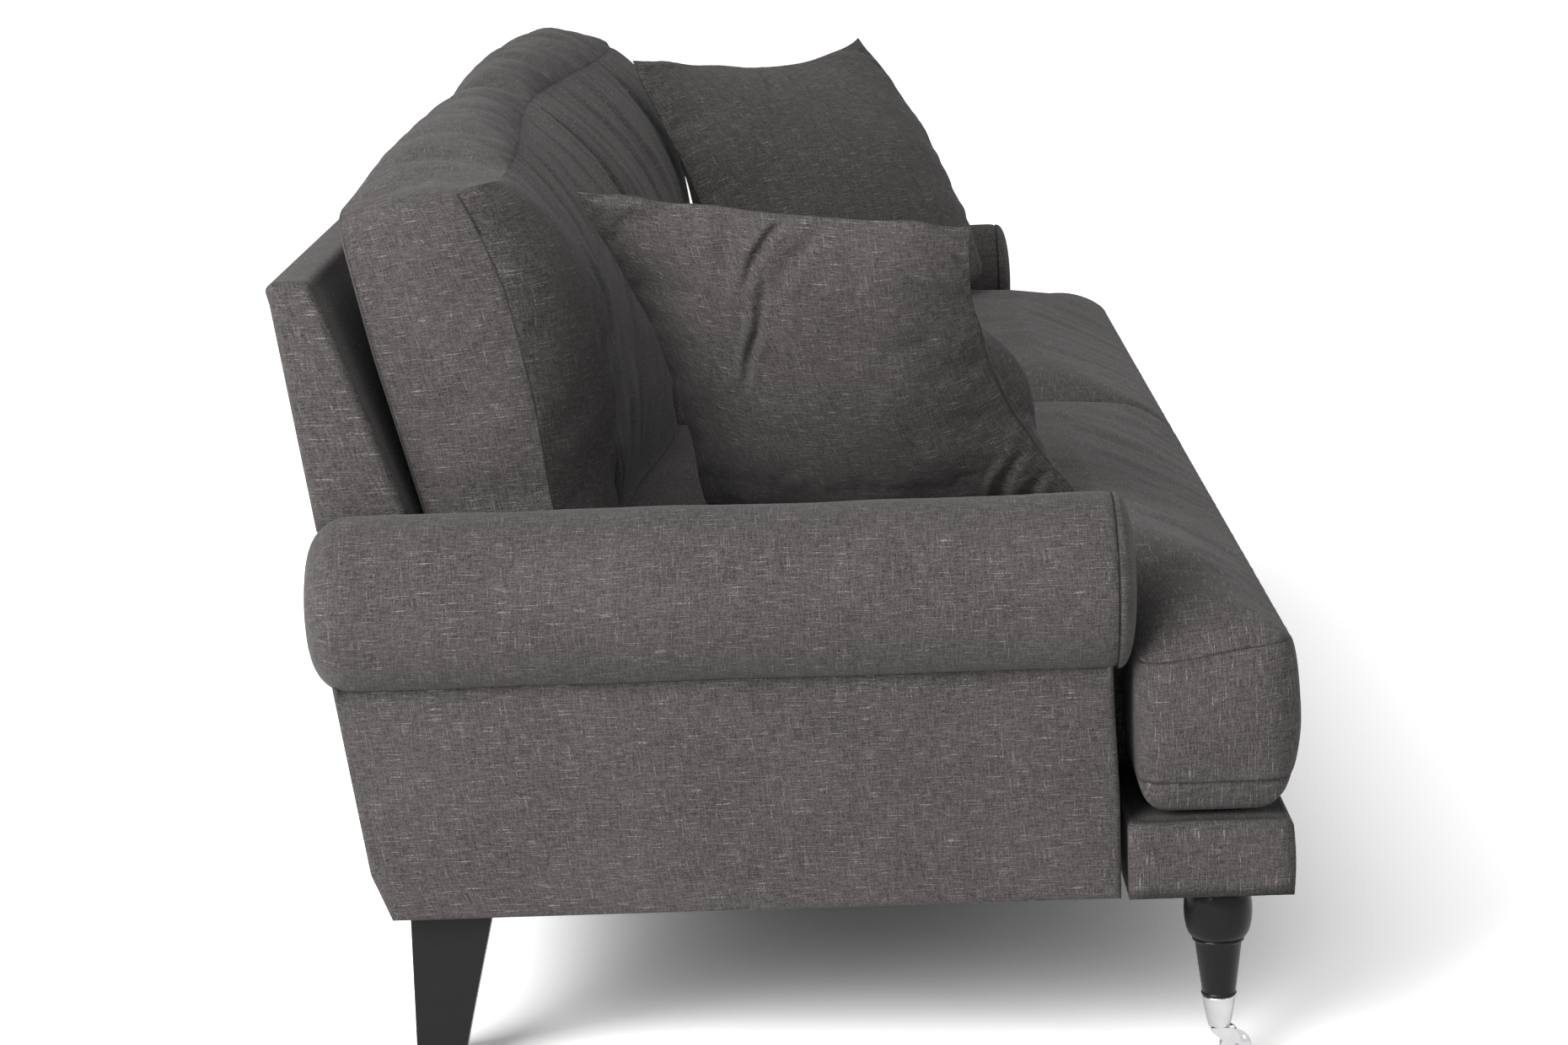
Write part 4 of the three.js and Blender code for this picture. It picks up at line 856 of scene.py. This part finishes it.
us, vs = close_lines(BACK_INNER, BACK_END), close_lines(0, BACK_HIGH)
far_folds = (
    (0.012, 0.005, (0.03, 0.385), (0.08, 0.34), (0.10, 0.24), (0.09, 0.14)),
    (0.011, 0.004, (0.14, 0.388), (0.17, 0.33), (0.19, 0.23)),
    (0.012, 0.005, (0.25, 0.388), (0.29, 0.33), (0.31, 0.24), (0.30, 0.15)),
    (0.011, 0.004, (0.42, 0.385), (0.40, 0.33), (0.42, 0.24)))
near_folds = (
    (0.012, 0.005, (0.05, 0.385), (0.09, 0.32), (0.10, 0.22)),
    (0.012, 0.005, (0.22, 0.385), (0.20, 0.32), (0.22, 0.20)),
    (0.015, 0.009, (0.60, 0.20), (0.74, 0.185), (0.84, 0.21)),
    (0.012, 0.007, (0.62, 0.17), (0.74, 0.135), (0.85, 0.12)),
    (0.012, 0.007, (0.62, 0.21), (0.72, 0.25), (0.79, 0.30)),
    (0.011, 0.011, (0.79, 0.13), (0.775, 0.06), (0.785, -0.03)),
    (0.010, 0.008, (0.72, 0.11), (0.71, 0.05), (0.72, -0.03)))
# Fullness is the crown, the bow of the top seam, the lift of the top, how far that lift ends
# before the cushion does, and the press of the scatter cushion. A fold has its width, its depth
# and the points of its line.
for side, label, fullness, folds in (
        (1, "right", (0.066, 0.050, 0.044, 0.0, 0.0), far_folds),
        (-1, "left", (0.051, 0.037, 0.036, 0.055, 0.024), near_folds)):
    form = wrapped_form(us, vs, rectangle(us, vs), SEAM_ROWS,
                        back_place(BACK_SEED + side, *fullness, folds), laid_flat)
    made = make_piece(f"back_pad_{label}", form, f"back_{label}", [f"back_cushion_{label}"], side)
    fill_cover(made, back_held, slack=0.010, fineness=0.4)

# Scatter cushions: two squares of the cloth sewn edge to edge round a feather pad, with pointed
# corners. Each stands loose on the seat and leans towards its arm, with a chop in its upper edge.
SCATTER_THICK, SCATTER_SIDE, SCATTER_LINES, SCATTER_SEED = 0.070, 0.21, 101, 71
SCATTER_WAVE, SCATTER_GATHER, SCATTER_DENT, SCATTER_POWER = 0.0022, 0.002, 0.003, 0.62
OVER_LOW, OVER_TALL, OVER_SIDE, OVER_WIDE, SCATTER_STILL_AT = 0.45, 0.55, 0.80, 0.22, (0.345, 0.315)


def scatter_place(corners, bows, seed, folds, lift):
    """A pillow from plan shares of -1 to 1 between its four corners: two sheets that part as the
    product of cosines to a power, sides bowed in or out, puckers at the seam, and folds. The
    sheet behind rolls out past the side seams low down, where the feathers have sunk."""
    rear_head, front_head, front_foot, rear_foot = (np.array(corner) for corner in corners)
    along = front_head + front_foot - rear_head - rear_foot
    along /= np.linalg.norm(along)
    tall = rear_head + front_head - front_foot - rear_foot
    tall -= along * (tall @ along)
    tall /= np.linalg.norm(tall)
    outward = np.cross(along, tall)

    def place(u, v, face):
        wide, high = (1 + u[..., None]) / 2, (1 + v[..., None]) / 2
        foot = rear_foot * (1 - wide) + front_foot * wide
        head = rear_head * (1 - wide) + front_head * wide
        x, y = u * SCATTER_SIDE, v * SCATTER_SIDE
        edge = np.clip(1 - np.maximum(np.abs(u), np.abs(v)), 0, 1) * SCATTER_SIDE
        side_bow = -u * (1 - v * v) * np.where(u > 0, bows["front"], bows["rear"])
        end_bow = np.where(v > 0, bows["head"] * (1 + bows["skew"] * u), bows["foot"])
        end_bow = -v * (1 - u * u) * end_bow
        wave = SCATTER_WAVE * ripple(seed + 2, (0.11, 0.22), x, y) * ease(0, 0.06, 1 - np.abs(u * v))
        sagged = v + bows["sag"] * (1 - v * v)
        puff = (np.cos(np.pi / 2 * u) * np.cos(np.pi / 2 * sagged)).clip(0) ** SCATTER_POWER
        puckers = SCATTER_GATHER * ripple(seed, (0.025, 0.045), x, y) * np.exp(-edge / 0.02)
        uneven = SCATTER_DENT * ripple(seed + 1, (0.08, 0.18), x, y)
        folded = creases(x, y, folds) * (face > 0)
        behind = bows["behind"] * (face < 0) * np.exp(-((v + OVER_LOW) / OVER_TALL) ** 2) * (1 - v * v)
        sides = (np.exp(-((u - OVER_SIDE) / OVER_WIDE) ** 2)
                 - np.exp(-((u + OVER_SIDE) / OVER_WIDE) ** 2))
        roll_over = behind * sides * (1 - u ** 8)
        full = SCATTER_THICK * puff * np.where(face > 0, 1, bows["full"])
        height = np.maximum(full + (puckers + uneven + folded) * ease(0, 0.012, edge), 0)
        return (foot * (1 - high) + head * high + along * (side_bow + roll_over + wave)[..., None]
                + tall * (end_bow + wave)[..., None] + outward * (face * height)[..., None]
                + np.array([0, 0, lift]))
    return place


def scatter_form(place):
    """Two sheets over the same grid that share their four edges, closer together towards them."""
    line = np.sin(np.linspace(-1, 1, SCATTER_LINES) * np.pi / 2 * 0.95) / np.sin(np.pi / 2 * 0.95)
    count = len(line)
    plan_u, plan_v = np.meshgrid(line, line, indexing="ij")
    points = np.concatenate([place(plan_u, plan_v, face).reshape(-1, 3) for face in (1, -1)])
    number = np.arange(count * count).reshape(count, count)
    rim = np.maximum(np.abs(plan_u), np.abs(plan_v)) > 0.9999
    under = np.where(rim, number, number + count * count)
    above = np.stack([number[:-1, :-1], number[1:, :-1], number[1:, 1:], number[:-1, 1:]], -1)
    below = np.stack([under[:-1, :-1], under[:-1, 1:], under[1:, 1:], under[1:, :-1]], -1)
    faces = np.concatenate([above.reshape(-1, 4), below.reshape(-1, 4)])
    plan = np.stack([plan_u, plan_v], -1).reshape(-1, 2) * SCATTER_SIDE
    maps = np.concatenate([plan, plan + LOWER_SHIFT])[faces]
    # The front sheet's rim is its seam mark, which also paints a line of shade into the cloth.
    return points, faces, maps, np.concatenate([rim.ravel(), rim.ravel() * 0]).astype(float)


# Folds are given in metres from the middle of the front sheet, and corners as rear head, front
# head, front foot and rear foot. The bows draw each side in, or out where negative, the skew
# moves the head's bow to one end, the sag lowers the fullest place, and behind and full give the
# sheet behind its roll and its thickness.
near_chop = (
    (0.0036, 0.013, (0.012, 0.205), (-0.006, 0.187), (-0.028, 0.162), (-0.052, 0.122)),
    (0.0038, 0.014, (-0.022, 0.140), (-0.034, 0.110), (-0.046, 0.080), (-0.070, 0.045),
     (-0.088, 0.005)),
    (0.0080, 0.0045, (0.068, 0.205), (0.039, 0.182), (0.006, 0.155), (-0.020, 0.118)),
    (0.0100, 0.004, (-0.060, 0.205), (-0.058, 0.165), (-0.075, 0.110)),
    (0.0060, 0.005, (0.200, -0.120), (0.165, -0.150), (0.140, -0.185)),
    (0.0060, 0.004, (0.205, -0.160), (0.180, -0.178), (0.160, -0.205)))
far_chop = (
    (0.0070, 0.006, (-0.010, 0.205), (-0.020, 0.165), (-0.040, 0.120)),
    (0.0060, 0.005, (0.030, 0.205), (0.030, 0.175), (0.015, 0.130)))
for label, folds, corners, bows in (
        ("left", near_chop, [(-0.795, 0.2010, 0.6438), (-0.885, -0.1819, 0.6071),
                             (-0.735, -0.2868, 0.3120), (-0.650, 0.0894, 0.2990)],
         {"head": 0.003, "rear": 0.020, "foot": -0.010, "front": 0.034, "sag": 0.33, "skew": 0,
          "behind": 0.06, "full": 1.5}),
        ("right", far_chop, [(0.6268, 0.2092, 0.6686), (0.940, -0.102, 0.6676),
                             (0.800, -0.266, 0.3385), (0.500, 0.0591, 0.3356)],
         {"head": 0.028, "rear": 0.002, "foot": -0.050, "front": -0.034, "sag": 0.2, "skew": 0.55,
          "behind": 0.045, "full": 1.0})):
    unset = scatter_form(scatter_place(corners, bows, SCATTER_SEED, folds, 0.0))[0]
    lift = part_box(f"scatter_cushion_{label}")[0][2] - stand(unset)[:, 2].min()
    form = scatter_form(scatter_place(corners, bows, SCATTER_SEED, folds, lift))
    made = make_piece(f"scatter_pad_{label}", form, f"scatter_{label}", [f"scatter_cushion_{label}"])
    fill_cover(made, lambda sizes: ease(*SCATTER_STILL_AT, sizes[2]), slack=0.010, fineness=0.3)

# Front legs and castors: turned beech legs in black lacquer with a bulb, a neck, a bead and a
# cone, each set in a polished cup whose fork swivels on a stem and carries a plain wheel.
LEG_X, LEG_Y, WHEEL_TRAIL = 1.029, -0.3935, 0.015
WHEEL_R, WHEEL_HALF, FORK_DROP, CUP_HIGH = 0.01536, 0.006, 0.0206, 0.031
WHEEL_Y = LEG_Y - WHEEL_TRAIL
WHEEL_Z = (WHEEL_R - BODY_Z + WHEEL_Y * math.sin(LEAN)) / math.cos(LEAN)
CUP_FOOT = WHEEL_Z + FORK_DROP
CUP_TOP = CUP_FOOT + CUP_HIGH
STEM_R, AXLE_R, WHEEL_ROUND, TURNED_SIDES, TURNED_MAP = 0.0041, 0.0027, 0.0012, 96, 0.0016


def turned_form(profile, centre, across=False):
    """A body of revolution from its half outline of radius and height, round the upright line
    through a centre, or round a line along X for a wheel."""
    profile = np.array(profile)
    turns = np.linspace(0, 2 * np.pi, TURNED_SIDES, endpoint=False)
    radius, height = profile[:, :1], profile[:, 1:] + 0 * turns
    flat = [radius * np.cos(turns), radius * np.sin(turns), height]
    rings = np.stack([flat[2], flat[0], flat[1]] if across else flat, -1) + np.array(centre)
    run = np.concatenate([[0], np.cumsum(np.hypot(*np.diff(profile, axis=0).T))])
    girth = np.arange(TURNED_SIDES + 1) * TURNED_MAP
    number, faces, maps = ring_cells(len(rings), TURNED_SIDES, run, girth)
    return rings.reshape(-1, 3), faces, maps, np.zeros(number.size)


def arc(start, stop, bulge, count=10):
    """Outline points between two radius and height pairs, swelling outward as a half sine."""
    t = np.linspace(0, 1, count)
    line = np.outer(1 - t, start) + np.outer(t, stop)
    line[:, 0] += bulge * np.sin(np.pi * t)
    return line.tolist()


quarter = np.linspace(0, np.pi / 2, 14)
bulb_low = np.stack([0.024 + 0.0085 * np.sin(quarter), -0.056 + 0.027 * (1 - np.cos(quarter))], 1)
bulb_high = np.stack([0.025 + 0.0075 * np.cos(quarter), -0.029 + 0.025 * np.sin(quarter)], 1)
leg_outline = [
    [1e-5, CUP_FOOT + 0.0093], [0.0098, CUP_FOOT + 0.0093], [0.0138, CUP_TOP - 0.0003],
    [0.0138, CUP_TOP + 0.0003], [0.0158, CUP_TOP + 0.0003],
    *arc((0.0160, CUP_TOP + 0.0005), (0.0160, CUP_TOP + 0.0040), 0.0010),
    [0.0161, CUP_TOP + 0.0042], [0.0223, -0.0613],
    *arc((0.0224, -0.0610), (0.0236, -0.0562), 0.0019),
    *bulb_low.tolist(), *bulb_high.tolist()[1:], [0.0249, -0.0006], [0.0246, -0.0003], [1e-5, -0.0003]]
cup_outline = [
    [STEM_R, CUP_FOOT], [0.0099, CUP_FOOT], [0.0103, CUP_FOOT + 0.0003],
    *arc((0.0105, CUP_FOOT + 0.0007), (0.0154, CUP_TOP - 0.0030), 0.0004, 8),
    *arc((0.0156, CUP_TOP - 0.0027), (0.0157, CUP_TOP - 0.0002), 0.0004, 6),
    [0.0155, CUP_TOP], [0.0145, CUP_TOP], [0.0143, CUP_TOP - 0.0002],
    [0.0102, CUP_FOOT + 0.0090], [STEM_R, CUP_FOOT + 0.0090], [STEM_R, CUP_FOOT]]
tread_r = WHEEL_R - WHEEL_ROUND
tread = arc((tread_r, -WHEEL_HALF), (tread_r, WHEEL_HALF), WHEEL_ROUND, 14)
wheel_outline = [[AXLE_R, WHEEL_HALF], [AXLE_R, -WHEEL_HALF], *tread, [AXLE_R, WHEEL_HALF]]


def finish_of(name, colour, rough, metal=0.0, shine=0.5):
    """A finish with fine unevenness in its gloss and tone over the piece."""
    made, tree, shader = plain_material(name)
    where = node(tree, "ShaderNodeTexCoord", (0, 0))
    noise = node(tree, "ShaderNodeTexNoise", (1, 0))
    noise.inputs["Scale"].default_value = 60.0
    noise.inputs["Detail"].default_value = 4.0
    tone = node(tree, "ShaderNodeMapRange", (2, 0))
    tone.inputs["To Min"].default_value = rough * 0.8
    tone.inputs["To Max"].default_value = min(1.0, rough * 1.2)
    tint = node(tree, "ShaderNodeMix", (2, 1), data_type="RGBA")
    tint.inputs[6].default_value = (*[part * 0.85 for part in colour], 1)
    tint.inputs[7].default_value = (*[min(1, part * 1.15) for part in colour], 1)
    join(tree, where.outputs["Object"], noise.inputs["Vector"])
    join(tree, noise.outputs[0], tone.inputs["Value"])
    join(tree, noise.outputs[0], tint.inputs[0])
    join(tree, tone.outputs["Result"], shader.inputs["Roughness"])
    join(tree, tint.outputs[2], shader.inputs["Base Color"])
    shader.inputs["Metallic"].default_value = metal
    shader.inputs["Specular IOR Level"].default_value = shine
    return made


lacquer = finish_of("black_lacquer", (0.008, 0.008, 0.008), 0.20, shine=0.17)
chrome = finish_of("polished_chrome", (0.62, 0.62, 0.63), 0.08, metal=1.0)
for side, label in SIDES:
    make_piece(f"turned_leg_{label}", turned_form(leg_outline, (LEG_X, LEG_Y, 0)), "sofa_body",
               [f"front_leg_{label}"], side, lacquer)
    make_piece(f"cup_{label}", turned_form(cup_outline, (LEG_X, LEG_Y, 0)), "sofa_body",
               [f"castor_cup_{label}"], side, chrome)
    make_piece(f"wheel_{label}", turned_form(wheel_outline, (LEG_X, WHEEL_Y, WHEEL_Z), True),
               f"wheel_{label}", [f"castor_wheel_{label}"], side, chrome)

# Rear legs, forks, axles, boards, springs and the lining keep the model's own forms, each with
# its finish. Those that show have their edges eased.
finishes = {
    "black_wood": lacquer,
    "chrome": chrome,
    "timber": finish_of("bare_beech", (0.43, 0.27, 0.14), 0.7),
    "steel": finish_of("plain_steel", (0.42, 0.43, 0.44), 0.4, metal=1.0),
    "lining": finish_of("black_lining", (0.016, 0.016, 0.017), 0.95),
    "cloth": finish_of("deck_cloth", (0.07, 0.064, 0.062), 0.95),
}
EASED = {"rear_leg": 0.0012, "castor_fork": 0.0004, "castor_axle": 0.0003}
SHARP_EDGE, WELD_REACH = 40, 0.00001
for name, piece in frame["nodes"].items():
    piece.data.materials.clear()
    piece.data.materials.append(finishes[SLOTS[name]])
    width = EASED.get(name.rsplit("_", 1)[0])
    if width:
        welded = piece.modifiers.new("weld", "WELD")
        welded.merge_threshold = WELD_REACH
        eased = piece.modifiers.new("ease", "BEVEL")
        eased.width = width
        eased.segments = 3
        eased.angle_limit = math.radians(SHARP_EDGE)
